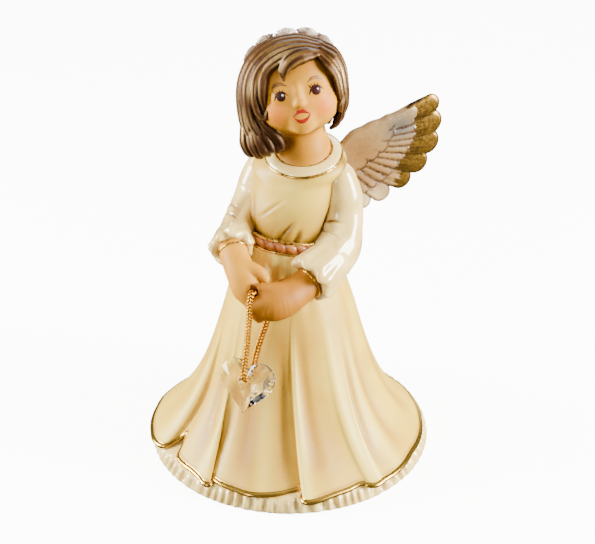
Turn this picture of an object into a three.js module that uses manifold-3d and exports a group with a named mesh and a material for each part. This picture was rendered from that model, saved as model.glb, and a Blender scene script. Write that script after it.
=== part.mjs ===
// A porcelain angel figurine holding a crystal heart on a braided ribbon loop.
//
// Units are millimetres and +Z is up. The origin is the centre of the flat underside.
// The figure faces -Y, and her own left is +X.
//
// The porcelain parts are cast separately and joined while damp, so each one is its own solid
// with a narrow seam to its neighbours. The ribbon swings in the hands, and the heart turns on it.

import * as THREE from 'three';
import { mergeVertices } from 'three/addons/utils/BufferGeometryUtils.js';
import Module from 'manifold-3d';

const wasm = await Module();
wasm.setup();

// ---------------------------------------------------------------- driving dimensions

const SEAM = 0.3;                    // gap between neighbouring pieces
const WALL = 2.5;                    // thickness of the cast shells

const FOOT_RADIUS = 48.5;            // petticoat edge, the widest part of the figure
const PETTICOAT_HEIGHT = 5.2;
const FLOOR_THICKNESS = 2.5;
const VENT = { radius: 6, y: 14 };   // casting vent in the floor, behind the centre

const SKIRT = { hemRadius: 46.9, hemZ: 5.5, topRadius: 15.1, topZ: 78.9, folds: 8, foldDepth: 1.5 };
const WAIST = { neckRadius: 12.4, seamZ: 81.9 };
const BELT = { innerRadius: 12.8, outerRadius: 15.4, bottomZ: 79, topZ: 82.9 };

const CHEST = { x: 1.5, y: 2, depthRatio: 0.9 };
const NECK = { x: 3.8, y: 1.5, radius: 7.4 };
const COLLAR = { innerRadius: 8.5, outerRadius: 11.4, thickness: 1.5, z: 108.4, tilt: 14 };

const HEAD = { centre: [2.5, -1, 132], radius: 14.5, yaw: 23, pitch: 18, roll: 10 };
const HAIR = { radii: [18.4, 17.3, 17.2], offset: [0, 2, 0.6] };
const WREATH = { roses: 10, roseRadius: 3.5, tiltBack: 42, spread: 40 };

const WING = { root: [9.5, 14.5], sweep: 45, thickness: 2.6 };

// The ribbon passes through a tunnel in the clasped hands, from the thumb side down to the heel.
const TUNNEL = { top: [2.2, -30.2, 71.8], bottom: [3.6, -24.2, 60.8], radius: 1.7 };
const RIBBON = { width: 2, thickness: 1, sway: 15 };
const HEART = {
  hole: [1.3, -35.2, 42.8],          // centre of the drilled hole
  lean: 18,                          // degrees that the face tips back from upright
  width: 19.2,
  height: 17.7,
  drop: 1.5,                         // how far the outline sits below the hole
  halfDepth: 4.2,
  girdle: 1.2,                       // thickness of the rim
  ridgeDrop: 3.4,                    // hole to the thickest point, downwards
  holeRadius: 1.8,
};

// ---------------------------------------------------------------- colours

const COLOURS = {
  dress: 0xdcc98f,
  bodice: 0xc2a868,
  white: 0xe8e0d2,
  skin: 0xe6c08a,
  hair: 0x6b452b,
  belt: 0xc07a4d,
  wing: 0xcdb993,
  rose: 0xe9d8d4,
  ribbon: 0xc98a2a,
  crystal: 0xf3eee2,
};

function glaze(colour, roughness) {
  return new THREE.MeshStandardMaterial({ color: colour, roughness, metalness: 0 });
}

// ---------------------------------------------------------------- small helpers

const rad = THREE.MathUtils.degToRad;
const vec = (p) => new THREE.Vector3(...p);

// Moves every vertex of a geometry with a function of its position.
function warp(geometry, move) {
  const position = geometry.attributes.position;
  const p = new THREE.Vector3();
  for (let i = 0; i < position.count; i += 1) {
    p.fromBufferAttribute(position, i);
    move(p);
    position.setXYZ(i, p.x, p.y, p.z);
  }
  return geometry;
}

// Shared vertices only, without the collapsed triangles at poles and on axes.
function weld(geometry) {
  const bare = geometry.clone();
  bare.deleteAttribute('normal');
  bare.deleteAttribute('uv');
  const merged = mergeVertices(bare, 1e-4);
  const kept = [];
  for (let i = 0; i < merged.index.count; i += 3) {
    const [a, b, c] = [0, 1, 2].map((k) => merged.index.getX(i + k));
    if (a !== b && b !== c && c !== a) kept.push(a, b, c);
  }
  merged.setIndex(kept);
  return merged;
}

function solid(geometry) {
  const welded = weld(geometry);
  const mesh = new wasm.Mesh({
    numProp: 3,
    vertProperties: new Float32Array(welded.attributes.position.array),
    triVerts: new Uint32Array(welded.index.array),
  });
  return new wasm.Manifold(mesh);
}

// The largest connected body of a solid, as a three.js geometry.
function geometryOf(body) {
  const largest = body.decompose().sort((a, b) => b.volume() - a.volume())[0];
  const mesh = largest.getMesh();
  const geometry = new THREE.BufferGeometry();
  geometry.setAttribute('position', new THREE.BufferAttribute(mesh.vertProperties, 3));
  geometry.setIndex(new THREE.BufferAttribute(mesh.triVerts, 1));
  return geometry;
}

// A solid grown by a gap along its surface normals, used to cut a seam into a neighbour.
function swell(body, gap = SEAM) {
  const geometry = weld(geometryOf(body));
  geometry.computeVertexNormals();
  const { position, normal } = geometry.attributes;
  for (let i = 0; i < position.count; i += 1) {
    position.setXYZ(
      i,
      position.getX(i) + gap * normal.getX(i),
      position.getY(i) + gap * normal.getY(i),
      position.getZ(i) + gap * normal.getZ(i),
    );
  }
  return solid(geometry);
}

function carve(body, ...neighbours) {
  return neighbours.reduce((left, neighbour) => left.subtract(swell(neighbour)), body);
}

function join(...bodies) {
  return bodies.reduce((whole, body) => whole.add(body));
}

// A closed profile of [radius, z] pairs turned about the Z axis.
function turned(profile, segments = 48) {
  const points = profile.map(([radius, z]) => new THREE.Vector2(radius, z));
  return new THREE.LatheGeometry(points, segments).rotateX(Math.PI / 2);
}

function ellipsoid(radii, centre, sides = 20, rings = 12) {
  return new THREE.SphereGeometry(1, sides, rings).scale(...radii).translate(...centre);
}

function pick(values, t) {
  const place = t * (values.length - 1);
  const low = Math.min(Math.floor(place), values.length - 2);
  return THREE.MathUtils.lerp(values[low], values[low + 1], place - low);
}

// A round-ended limb along a smooth path, with its radii spread evenly from start to end.
function limb(points, radii, sides = 12, rings = 12) {
  const path = new THREE.CatmullRomCurve3(points.map(vec));
  const sphere = new THREE.SphereGeometry(1, sides, rings);
  const reference = new THREE.Vector3(0.9, 0.2, 0.4);
  return warp(sphere, (p) => {
    const t = THREE.MathUtils.clamp((1 - p.y) / 2, 0, 1);
    const around = Math.atan2(p.z, p.x);
    const roundEnd = Math.sqrt(Math.max(0, 1 - Math.abs(p.y) ** 6));
    const radius = pick(radii, t) * (Math.hypot(p.x, p.z) < 1e-6 ? 0 : roundEnd);
    const tangent = path.getTangentAt(t);
    const side = new THREE.Vector3().crossVectors(tangent, reference).normalize();
    const other = new THREE.Vector3().crossVectors(tangent, side);
    const centre = path.getPointAt(t);
    p.copy(centre)
      .addScaledVector(side, radius * Math.cos(around))
      .addScaledVector(other, radius * Math.sin(around));
  });
}

// A round rod from one point to another.
function rod(from, to, radius, sides = 16) {
  const [a, b] = [vec(from), vec(to)];
  const length = a.distanceTo(b);
  const turn = new THREE.Quaternion().setFromUnitVectors(
    new THREE.Vector3(0, 1, 0),
    b.clone().sub(a).normalize(),
  );
  const middle = a.add(b).multiplyScalar(0.5);
  return new THREE.CylinderGeometry(radius, radius, length, sides)
    .applyQuaternion(turn)
    .translate(middle.x, middle.y, middle.z);
}

// A piece mirrored from her left side to her right, about the middle of the chest.
function mirrored(geometry) {
  const welded = weld(geometry);
  warp(welded, (p) => { p.x = 2 * CHEST.x - p.x; });
  const index = Array.from(welded.index.array);
  for (let i = 0; i < index.length; i += 3) {
    [index[i], index[i + 1]] = [index[i + 1], index[i]];
  }
  return welded.setIndex(index);
}

// ---------------------------------------------------------------- dress

// The skirt flares gently from the waist and quickly just above the hem.
function skirtRadius(z) {
  const t = (SKIRT.topZ - z) / (SKIRT.topZ - SKIRT.hemZ);
  return SKIRT.topRadius + (SKIRT.hemRadius - SKIRT.topRadius) * (0.62 * t + 0.38 * t ** 6);
}

function skirt() {
  const heights = [SKIRT.hemZ, 7.8, 11.8, 18.5, 29, 43, 58, 69, SKIRT.topZ];
  const outer = heights.map((z) => [skirtRadius(z), z]);
  const inner = heights.slice(1, -1).reverse().map((z) => [skirtRadius(z) - 1.2 * WALL, z - 0.2 * WALL]);
  const neckInside = WAIST.neckRadius - WALL;
  const neckTop = WAIST.seamZ - SEAM;
  const profile = [
    ...outer,
    [WAIST.neckRadius, SKIRT.topZ],
    [WAIST.neckRadius, neckTop],
    [neckInside, neckTop],
    [neckInside, SKIRT.topZ - WALL],
    ...inner,
    [SKIRT.hemRadius - 1.2 * WALL, SKIRT.hemZ],
    outer[0],
  ];
  return solid(warp(turned(profile), (p) => {
    const t = THREE.MathUtils.clamp((SKIRT.topZ - p.z) / (SKIRT.topZ - SKIRT.hemZ), 0, 1);
    const around = Math.atan2(p.x, -p.y);
    const fold = SKIRT.foldDepth * t ** 2 * Math.cos(SKIRT.folds * around);
    const scale = 1 + fold / Math.hypot(p.x, p.y);
    p.x *= scale;
    p.y *= scale;
  }));
}

function petticoat() {
  const top = PETTICOAT_HEIGHT;
  const profile = [
    [FOOT_RADIUS - 3.6, 0],
    [FOOT_RADIUS - 0.8, 0],
    [FOOT_RADIUS, 0.8],
    [FOOT_RADIUS - 0.6, 2.6],
    [FOOT_RADIUS - 2, top],
    [FOOT_RADIUS - 5.4, top],
    [FOOT_RADIUS - 3.6, 2.6],
    [FOOT_RADIUS - 3.6, 0],
  ];
  return solid(turned(profile));
}

// The floor that closes the hollow casting, flush with the petticoat's edge.
function baseFloor() {
  const radius = FOOT_RADIUS - 3.6 - SEAM;
  const disc = rod([0, 0, 0], [0, 0, FLOOR_THICKNESS - SEAM], radius, 48);
  const vent = rod([0, VENT.y, -1], [0, VENT.y, FLOOR_THICKNESS + 1], VENT.radius, 16);
  return solid(disc).subtract(solid(vent));
}

// Her chest leans a little forward and to her left of the waist, and the neck a little more.
function followSpine(p) {
  const { smoothstep, lerp } = THREE.MathUtils;
  const chest = smoothstep(p.z, BELT.topZ, 100);
  const neck = smoothstep(p.z, 100, 108);
  p.y *= lerp(1, CHEST.depthRatio, chest * (1 - neck));
  p.x += lerp(CHEST.x * chest, NECK.x, neck);
  p.y += lerp(CHEST.y * chest, NECK.y, neck);
}

const TORSO = [[13, 85], [13.6, 89], [14.2, 94], [14.1, 98.5], [13.2, 102], [11.8, 104.6], [9.8, 106.8]];

function torso(inset) {
  const base = WAIST.seamZ - inset;
  const profile = [
    [0, base],
    [WAIST.neckRadius - inset, base],
    [WAIST.neckRadius - inset, BELT.topZ + 0.2],
    ...TORSO.map(([radius, z]) => [radius - inset, z - 0.3 * inset]),
    [0, 108.4 - inset],
  ];
  return solid(warp(turned(profile, 28), followSpine));
}

function bodice(collarPiece, headPiece) {
  return carve(torso(0).subtract(torso(WALL)), collarPiece, headPiece);
}

function belt() {
  const middleZ = (BELT.bottomZ + BELT.topZ) / 2;
  const halfHeight = (BELT.topZ - BELT.bottomZ) / 2;
  const profile = [[BELT.innerRadius, BELT.bottomZ]];
  for (let k = 0; k <= 4; k += 1) {
    const angle = rad(-90 + 45 * k);
    profile.push([
      BELT.outerRadius - 1.6 + 1.6 * Math.cos(angle),
      middleZ + halfHeight * Math.sin(angle),
    ]);
  }
  profile.push([BELT.innerRadius, BELT.topZ], [BELT.innerRadius, BELT.bottomZ]);
  return solid(turned(profile, 36));
}

function collar() {
  const { innerRadius, outerRadius, thickness, z, tilt } = COLLAR;
  const profile = [
    [innerRadius, -thickness],
    [outerRadius, -thickness - 1.4],
    [outerRadius + 0.4, -0.9],
    [outerRadius - 0.4, -0.4],
    [innerRadius, 0.6],
    [innerRadius, -thickness],
  ];
  const ring = turned(profile, 28).rotateX(rad(tilt));
  return solid(ring.translate(NECK.x, NECK.y, z));
}

// ---------------------------------------------------------------- head

// From the head's own frame, face towards -Y, to the figurine.
function poseHead(geometry) {
  return geometry
    .rotateY(rad(-HEAD.roll))
    .rotateX(rad(-HEAD.pitch))
    .rotateZ(rad(HEAD.yaw))
    .translate(...HEAD.centre);
}

function head() {
  const r = HEAD.radius;
  const skull = warp(new THREE.SphereGeometry(r, 20, 14).rotateX(Math.PI / 2), (p) => {
    const low = Math.max(0, -p.z / r);
    p.x *= 1 - 0.14 * low ** 2;
    p.z *= p.z < 0 ? 0.94 : 1;
  });
  const nose = ellipsoid([1.5, 1.6, 1.3], [0, -r, -2.2], 8, 6);
  const neck = limb(
    [[NECK.x, NECK.y, 103.6], [NECK.x, NECK.y, 108], [3.4, 1.2, 114], [2.6, 0.6, 122]],
    [8.1, NECK.radius, NECK.radius, NECK.radius],
    16,
    9,
  );
  return join(solid(poseHead(skull)), solid(poseHead(nose)), solid(neck));
}

function hair(headPiece) {
  const cap = ellipsoid(HAIR.radii, HAIR.offset, 20, 14);
  const face = ellipsoid([11.4, 12, 15.5], [0.8, -16.5, -5.5], 16, 10);
  const nape = new THREE.BoxGeometry(50, 50, 20).translate(0, 0, -24);
  const shell = solid(poseHead(cap)).subtract(solid(poseHead(face))).subtract(solid(poseHead(nape)));
  return carve(shell, headPiece);
}

// The full side lock rolls under at its end, over her right shoulder.
function rightLock(...neighbours) {
  const bundle = limb(
    [[-9.5, -4, 139], [-13.5, -7, 130], [-13, -9.5, 120], [-9.5, -10.5, 113.5], [-5.5, -10.8, 111.5]],
    [3, 4.6, 5.2, 5.2, 3.6],
  );
  const curl = limb([[-7.5, -11, 123], [-3.5, -12.6, 117.5], [0.5, -12.4, 115]], [2, 2.8, 2.6], 10, 7);
  return carve(join(solid(bundle), solid(curl)), ...neighbours);
}

function leftLock(...neighbours) {
  const curl = limb(
    [[15.5, 3.5, 136], [18.5, 1.5, 130], [18, 0.5, 124], [14.5, 0.5, 120]],
    [2.4, 2.8, 2.8, 2.2],
    10,
    10,
  );
  return carve(solid(curl), ...neighbours);
}

// The wreath sits on the back of the crown, and its foremost rose lies near the top of the head.
function rose(index, hairPiece) {
  const blossom = ellipsoid([1, 1, 0.8], [0, 0, 0], 9, 6).scale(
    WREATH.roseRadius,
    WREATH.roseRadius,
    WREATH.roseRadius,
  );
  const [rx, ry, rz] = HAIR.radii;
  const around = (2 * Math.PI * index) / WREATH.roses;
  const direction = new THREE.Vector3(
    Math.sin(rad(WREATH.spread)) * Math.sin(around),
    -Math.sin(rad(WREATH.spread)) * Math.cos(around),
    Math.cos(rad(WREATH.spread)),
  ).applyAxisAngle(new THREE.Vector3(1, 0, 0), rad(-WREATH.tiltBack));
  const upright = new THREE.Quaternion().setFromUnitVectors(new THREE.Vector3(0, 0, 1), direction);
  blossom.applyQuaternion(upright).translate(
    HAIR.offset[0] + rx * direction.x,
    HAIR.offset[1] + ry * direction.y,
    HAIR.offset[2] + rz * direction.z,
  );
  return carve(solid(poseHead(blossom)), hairPiece);
}

// ---------------------------------------------------------------- arms

const ARM = {
  left: {
    sleeve: [[12.4, 4.2, 105], [15.8, 4.8, 98], [17, 4.6, 88], [17.8, 0.5, 79.5], [17.1, -7, 75.4]],
    sleeveRadii: [5.6, 6.8, 6.9, 7.1, 7.1],
    cuff: { from: [17.5, -6.4, 75.9], to: [15.3, -12.9, 73.5], innerRadius: 5.9, outerRadius: 8.6 },
    forearm: [
      [16, -10.5, 73], [13.7, -15.2, 71], [10.9, -20.6, 69.3],
      [8, -25, 68.2], [4.2, -27.4, 68.4], [0.6, -28.4, 69.8],
    ],
    forearmRadii: [5.1, 5.3, 5.2, 6, 6.6, 5.2],
  },
  right: {
    sleeve: [[-8.6, 4, 104.6], [-12, 4.2, 98], [-14, 2.6, 89.5], [-14.5, -4.5, 83.5], [-12.6, -15.6, 81.5]],
    sleeveRadii: [5.4, 6.4, 6.3, 6, 5.7],
    cuff: { from: [-12.9, -16, 81.5], to: [-10.3, -21.4, 81], innerRadius: 5.1, outerRadius: 7 },
    forearm: [
      [-13.6, -14.6, 81.6], [-11, -20.2, 81], [-7.2, -24.4, 78.2],
      [-4, -26.8, 74.8], [-1.4, -27.4, 70.6], [0.8, -26.4, 67.4],
    ],
    forearmRadii: [4.6, 4.7, 4.6, 4.8, 5.2, 3.8],
    thumb: [[-2, -25.6, 78], [1, -25.4, 77.6], [3.8, -25.2, 76]],
    thumbRadii: [2.4, 2.3, 1.9],
  },
};

// The path of the ribbon: from inside the tunnel's top, down the front of the heart, through
// its hole, up behind it, and back into the tunnel's bottom.
const ROUTE = [
  [2.53, -28.77, 69.18],
  [2.2, -30.2, 71.8],
  [2.05, -30.85, 72.9],
  [1.9, -31.8, 73.3],
  [1.78, -32.7, 72.7],
  [1.72, -33.1, 71.2],
  [1.63, -33.6, 67],
  [1.5, -34.5, 60.5],
  [1.38, -35.9, 53],
  [1.32, -37.3, 48.1],
  [1.3, -38.05, 45.75],
  [1.3, -37.6, 43.6],
  [1.3, -35.3, 42.5],
  [1.3, -32.9, 42.15],
  [1.3, -31, 43.65],
  [1.38, -30.35, 46],
  [2, -28.8, 51],
  [2.9, -26.4, 56],
  [3.45, -24.8, 59.3],
  [3.6, -24.2, 60.8],
  [3.27, -25.63, 63.42],
];

function flatSection(halfWidth, halfThickness) {
  const outline = [];
  for (let k = 0; k < 8; k += 1) {
    const angle = (Math.PI * (k + 0.5)) / 4;
    const corner = Math.cos(Math.PI / 8);
    outline.push(new THREE.Vector2(
      (halfWidth * Math.cos(angle)) / corner,
      (halfThickness * Math.sin(angle)) / corner,
    ));
  }
  return new THREE.Shape(outline);
}

function alongRoute(halfWidth, halfThickness, steps) {
  return new THREE.ExtrudeGeometry(flatSection(halfWidth, halfThickness), {
    extrudePath: new THREE.CatmullRomCurve3(ROUTE.map(vec)),
    steps,
    bevelEnabled: false,
  });
}

// The room that the ribbon needs in the hands: the tunnel, and the strand in front of it as it sways.
function ribbonRoom() {
  const [top, bottom] = [vec(TUNNEL.top), vec(TUNNEL.bottom)];
  const axis = bottom.clone().sub(top).normalize();
  const above = top.clone().addScaledVector(axis, -2).toArray();
  const below = bottom.clone().addScaledVector(axis, 6).toArray();
  let room = solid(rod(above, below, TUNNEL.radius));
  const strand = new THREE.CatmullRomCurve3(ROUTE.slice(2, 9).map(vec));
  for (const angle of [-RIBBON.sway, 0, RIBBON.sway]) {
    const swept = new THREE.ExtrudeGeometry(flatSection(1.9, 1.5), {
      extrudePath: strand,
      steps: 14,
      bevelEnabled: false,
    });
    swept.translate(-top.x, -top.y, -top.z);
    swept.applyQuaternion(new THREE.Quaternion().setFromAxisAngle(axis, rad(angle)));
    swept.translate(top.x, top.y, top.z);
    room = room.add(solid(swept));
  }
  return room;
}

function forearm(side) {
  const { forearm: path, forearmRadii, thumb, thumbRadii } = ARM[side];
  const arm = solid(limb(path, forearmRadii));
  return thumb ? arm.add(solid(limb(thumb, thumbRadii, 8, 6))) : arm;
}

function sleeve(side, ...neighbours) {
  return carve(solid(limb(ARM[side].sleeve, ARM[side].sleeveRadii, 14, 12)), ...neighbours);
}

// A rolled cuff: a thick ring round the wrist, fuller at its mouth.
function cuff(side, ...neighbours) {
  const { from, to, innerRadius, outerRadius } = ARM[side].cuff;
  const [start, end] = [vec(from), vec(to)];
  const length = start.distanceTo(end);
  const profile = [
    [innerRadius, 0],
    [outerRadius - 1.2, 0],
    [outerRadius - 0.3, length * 0.55],
    [outerRadius, length * 0.8],
    [outerRadius - 0.7, length],
    [innerRadius, length * 0.9],
    [innerRadius, 0],
  ];
  const turn = new THREE.Quaternion().setFromUnitVectors(
    new THREE.Vector3(0, 0, 1),
    end.clone().sub(start).normalize(),
  );
  const ring = turned(profile, 24).applyQuaternion(turn).translate(start.x, start.y, start.z);
  return carve(solid(ring), ...neighbours);
}

// ---------------------------------------------------------------- wings

// A wing in its own plane: u runs outwards from the shoulder blade, and v is the height.
function wingOutline() {
  const outline = new THREE.Shape();
  outline.moveTo(-0.8, 90);
  outline.lineTo(-0.8, 102);
  outline.quadraticCurveTo(3, 110.5, 12.4, 113);
  outline.quadraticCurveTo(24, 114.6, 34.2, 118.8);
  const feathers = [
    [38, 118.6, 37, 112.4],
    [40, 108.4, 36.8, 104],
    [39.2, 99.6, 33.8, 96.2],
    [34.2, 92.6, 28.8, 90.2],
    [28.4, 86.6, 22.4, 85.9],
    [20.8, 82.8, 15.6, 83],
    [12.8, 80.4, 8.6, 82.4],
  ];
  for (const [bendU, bendV, endU, endV] of feathers) {
    outline.quadraticCurveTo(bendU, bendV, endU, endV);
  }
  outline.lineTo(-0.8, 90);
  return outline;
}

function wing(side, ...neighbours) {
  const blade = new THREE.ExtrudeGeometry(wingOutline(), {
    depth: WING.thickness - 1,
    steps: 1,
    curveSegments: 4,
    bevelEnabled: true,
    bevelThickness: 0.5,
    bevelSize: 0.4,
    bevelSegments: 1,
  });
  blade.translate(0, 0, -WING.thickness / 2 + 0.5).rotateX(Math.PI / 2);
  blade.rotateZ(rad(WING.sweep)).translate(WING.root[0], WING.root[1], 0);
  return carve(solid(side === 'left' ? blade : mirrored(blade)), ...neighbours);
}

// ---------------------------------------------------------------- ribbon and heart

// The rim of the heart, from its notch round to its tip and back, with the hole at the origin.
function heartRim(turn) {
  const across = HEART.width / 32;
  const up = HEART.height / 26.9;
  const [c1, c2, c3, c4] = [1, 2, 3, 4].map((n) => Math.cos(n * turn));
  return [across * 16 * Math.sin(turn) ** 3, up * (13 * c1 - 4 * c2 - 2 * c3 - 0.6 * c4) - HEART.drop];
}

// From the heart's own frame, hole at the origin and face towards -Y, to the figurine.
function poseHeart(geometry) {
  return geometry.rotateX(rad(-HEART.lean)).translate(...HEART.hole);
}

// A cut crystal heart: both faces rise from the girdle to one point, and the stone is drilled
// from front to back below its notch.
function heart() {
  const halfGirdle = HEART.girdle / 2;
  const lens = turned([[0, -HEART.halfDepth], [1, -halfGirdle], [1, halfGirdle], [0, HEART.halfDepth]], 32);
  warp(lens, (p) => {
    const reach = Math.hypot(p.x, p.y);
    const [x, z] = heartRim(Math.atan2(p.x, -p.y));
    p.set(reach * x, p.z, reach * z - (1 - reach) * HEART.ridgeDrop);
  });
  const hole = rod([0, -10, 0], [0, 10, 0], HEART.holeRadius, 20);
  return solid(poseHeart(lens)).subtract(solid(poseHeart(hole)));
}

function ribbon() {
  return solid(alongRoute(RIBBON.width / 2, RIBBON.thickness / 2, 50));
}

// ---------------------------------------------------------------- assembly

const angel = new THREE.Group();

function place(name, body, colour, roughness) {
  const mesh = new THREE.Mesh(geometryOf(body), glaze(colour, roughness));
  mesh.name = name;
  angel.add(mesh);
  return body;
}

const room = ribbonRoom();
const collarBody = place('collar', collar(), COLOURS.white, 0.2);
const torsoBody = torso(0);
const headBody = place('head', carve(head(), collarBody), COLOURS.skin, 0.45);
const hairBody = place('hair', carve(hair(headBody), collarBody), COLOURS.hair, 0.25);
const skirtBody = place('skirt', skirt(), COLOURS.dress, 0.5);
place('petticoat', petticoat(), COLOURS.white, 0.2);
place('base_floor', baseFloor(), COLOURS.white, 0.5);
const beltBody = place('belt', belt(), COLOURS.belt, 0.5);
place('bodice', bodice(collarBody, headBody), COLOURS.bodice, 0.5);

const dress = [skirtBody, beltBody, torsoBody];
const leftHand = carve(forearm('left').subtract(room), ...dress);
const rightHand = carve(forearm('right').subtract(room), leftHand, ...dress);
const hands = { left: leftHand, right: rightHand };
const sleeves = {};
for (const side of ['left', 'right']) {
  place(`forearm_${side}`, hands[side], COLOURS.skin, 0.45);
  const cuffBody = place(`cuff_${side}`, cuff(side, hands[side], ...dress), COLOURS.white, 0.2);
  sleeves[side] = place(
    `sleeve_${side}`,
    sleeve(side, ...dress, collarBody, hands[side], cuffBody),
    COLOURS.white,
    0.2,
  );
  place(`wing_${side}`, wing(side, torsoBody, sleeves[side]), COLOURS.wing, 0.3);
}

const lockNeighbours = [headBody, hairBody, collarBody, torsoBody];
place('side_lock_right', rightLock(...lockNeighbours, sleeves.right), COLOURS.hair, 0.25);
place('side_lock_left', leftLock(...lockNeighbours), COLOURS.hair, 0.25);
for (let k = 0; k < WREATH.roses; k += 1) {
  place(`wreath_rose_${String(k + 1).padStart(2, '0')}`, rose(k, hairBody), COLOURS.rose, 0.2);
}

place('ribbon', ribbon(), COLOURS.ribbon, 0.35);
place('crystal_heart', heart(), COLOURS.crystal, 0.05);

export default angel;
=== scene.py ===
"""The looks of a porcelain angel figurine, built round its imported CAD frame.

Every length here is in millimetres until add_piece makes a mesh of it. The figure faces -Y and
her own left is +X. Angles round the figure are in degrees from -Y towards +X.
"""
import math

import bpy
import bmesh
import numpy as np
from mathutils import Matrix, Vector


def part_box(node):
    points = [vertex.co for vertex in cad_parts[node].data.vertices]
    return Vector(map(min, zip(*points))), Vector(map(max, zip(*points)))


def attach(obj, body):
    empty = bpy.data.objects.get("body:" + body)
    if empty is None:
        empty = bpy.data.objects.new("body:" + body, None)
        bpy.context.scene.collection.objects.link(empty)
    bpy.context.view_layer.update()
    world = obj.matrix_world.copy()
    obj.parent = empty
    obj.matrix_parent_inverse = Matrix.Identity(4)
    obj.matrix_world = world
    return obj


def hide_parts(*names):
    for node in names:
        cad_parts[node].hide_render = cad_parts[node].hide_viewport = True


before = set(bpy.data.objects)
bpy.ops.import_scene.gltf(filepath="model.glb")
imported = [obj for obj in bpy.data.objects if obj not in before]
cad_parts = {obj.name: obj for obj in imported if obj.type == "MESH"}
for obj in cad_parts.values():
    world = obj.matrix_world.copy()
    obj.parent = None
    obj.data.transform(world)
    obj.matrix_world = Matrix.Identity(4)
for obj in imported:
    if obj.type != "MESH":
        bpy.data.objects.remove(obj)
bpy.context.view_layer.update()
MM = 0.001
COARSE = 1.0
UP = np.array([0, 0, 1.0])


# ------------------------------------------------------------------ numbers and vectors

def smoothstep(value, low, high):
    t = np.clip((value - low) / (high - low), 0, 1)
    return t * t * (3 - 2 * t)


def mix(a, b, t):
    return a + (b - a) * t


def bell(value, width):
    return np.exp(-(value / width) ** 2)


def distance(points, centre):
    return np.linalg.norm(points - np.asarray(centre, float), axis=-1)


def unit(vectors):
    return vectors / np.maximum(np.linalg.norm(vectors, axis=-1, keepdims=True), 1e-9)


def turn(axis, degrees):
    """The matrix that turns points by an angle about X, Y or Z."""
    c, s = math.cos(math.radians(degrees)), math.sin(math.radians(degrees))
    rows = {
        "x": [[1, 0, 0], [0, c, -s], [0, s, c]],
        "y": [[c, 0, s], [0, 1, 0], [-s, 0, c]],
        "z": [[c, -s, 0], [s, c, 0], [0, 0, 1]],
    }
    return np.array(rows[axis])


def circle(count, start=0):
    """Evenly spaced angles in degrees, once round."""
    return np.linspace(start, start + 360, count, endpoint=False)


def wave(angle, times, start=0):
    """A sine wave that goes so many times round the circle."""
    return np.sin(np.radians(times * angle + start))


def apart(angle, middle):
    """How far an angle is from another, between -180 and 180 degrees."""
    return (angle - middle + 180) % 360 - 180


def around(angle, radius, z):
    """Points at an angle in degrees from -Y towards +X."""
    a = np.radians(angle)
    return np.stack(np.broadcast_arrays(radius * np.sin(a), -radius * np.cos(a), z), -1)


def mm_box(node):
    """The lowest and highest corners of a CAD node, in millimetres."""
    return [np.array(corner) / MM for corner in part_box(node)]


def travelled(path):
    """How far along a path each of its points is."""
    return np.concatenate([[0], np.cumsum(np.linalg.norm(np.diff(path, axis=0), axis=1))])


def spline(points, count):
    """Evenly spaced points on the centripetal Catmull-Rom curve through some points."""
    p = np.asarray(points, float)
    p = np.vstack([2 * p[0] - p[1], p, 2 * p[-1] - p[-2]])
    knots = np.concatenate([[0], np.cumsum(np.sqrt(np.linalg.norm(np.diff(p, axis=0), axis=1)))])
    pieces = []
    for i in range(1, len(p) - 2):
        (k0, k1, k2, k3), (p0, p1, p2, p3) = knots[i - 1:i + 3], p[i - 1:i + 3]
        t = np.linspace(k1, k2, 24, endpoint=False)[:, None]
        a1 = mix(p0, p1, (t - k0) / (k1 - k0))
        a2 = mix(p1, p2, (t - k1) / (k2 - k1))
        a3 = mix(p2, p3, (t - k2) / (k3 - k2))
        b1 = mix(a1, a2, (t - k0) / (k2 - k0))
        b2 = mix(a2, a3, (t - k1) / (k3 - k1))
        pieces.append(mix(b1, b2, (t - k1) / (k2 - k1)))
    fine = np.vstack(pieces + [p[-2:-1]])
    length = travelled(fine)
    even = np.linspace(0, length[-1], count)
    return np.stack([np.interp(even, length, fine[:, k]) for k in range(p.shape[1])], 1)


def spread(values, count):
    """A few values spread evenly along a length, joined smoothly."""
    places = np.linspace(0, len(values) - 1, count)
    low = np.minimum(places.astype(int), len(values) - 2)
    part = smoothstep(places - low, 0, 1)
    values = np.asarray(values, float)
    return mix(values[low], values[low + 1], part)


def frames(path, reference):
    """Along, across and outward directions of a path, across being square to the reference."""
    along = unit(np.gradient(path, axis=0))
    across = unit(np.cross(along, reference))
    return along, across, np.cross(across, along)


def noise(points, scale, seed=0):
    """Smooth noise between -1 and 1, from a few sine waves in fixed directions."""
    random = np.random.default_rng(seed)
    total = 0
    for octave in range(5):
        direction = unit(random.normal(size=3)) * (1 + 0.35 * octave) * 2 * math.pi / scale
        shift = 1.7 * np.sin(points @ (direction[::-1] * 0.6) + random.uniform(0, 6))
        total = total + np.sin(points @ direction + shift + random.uniform(0, 6))
    return total / 3.2


# ------------------------------------------------------------------ making meshes

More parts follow.
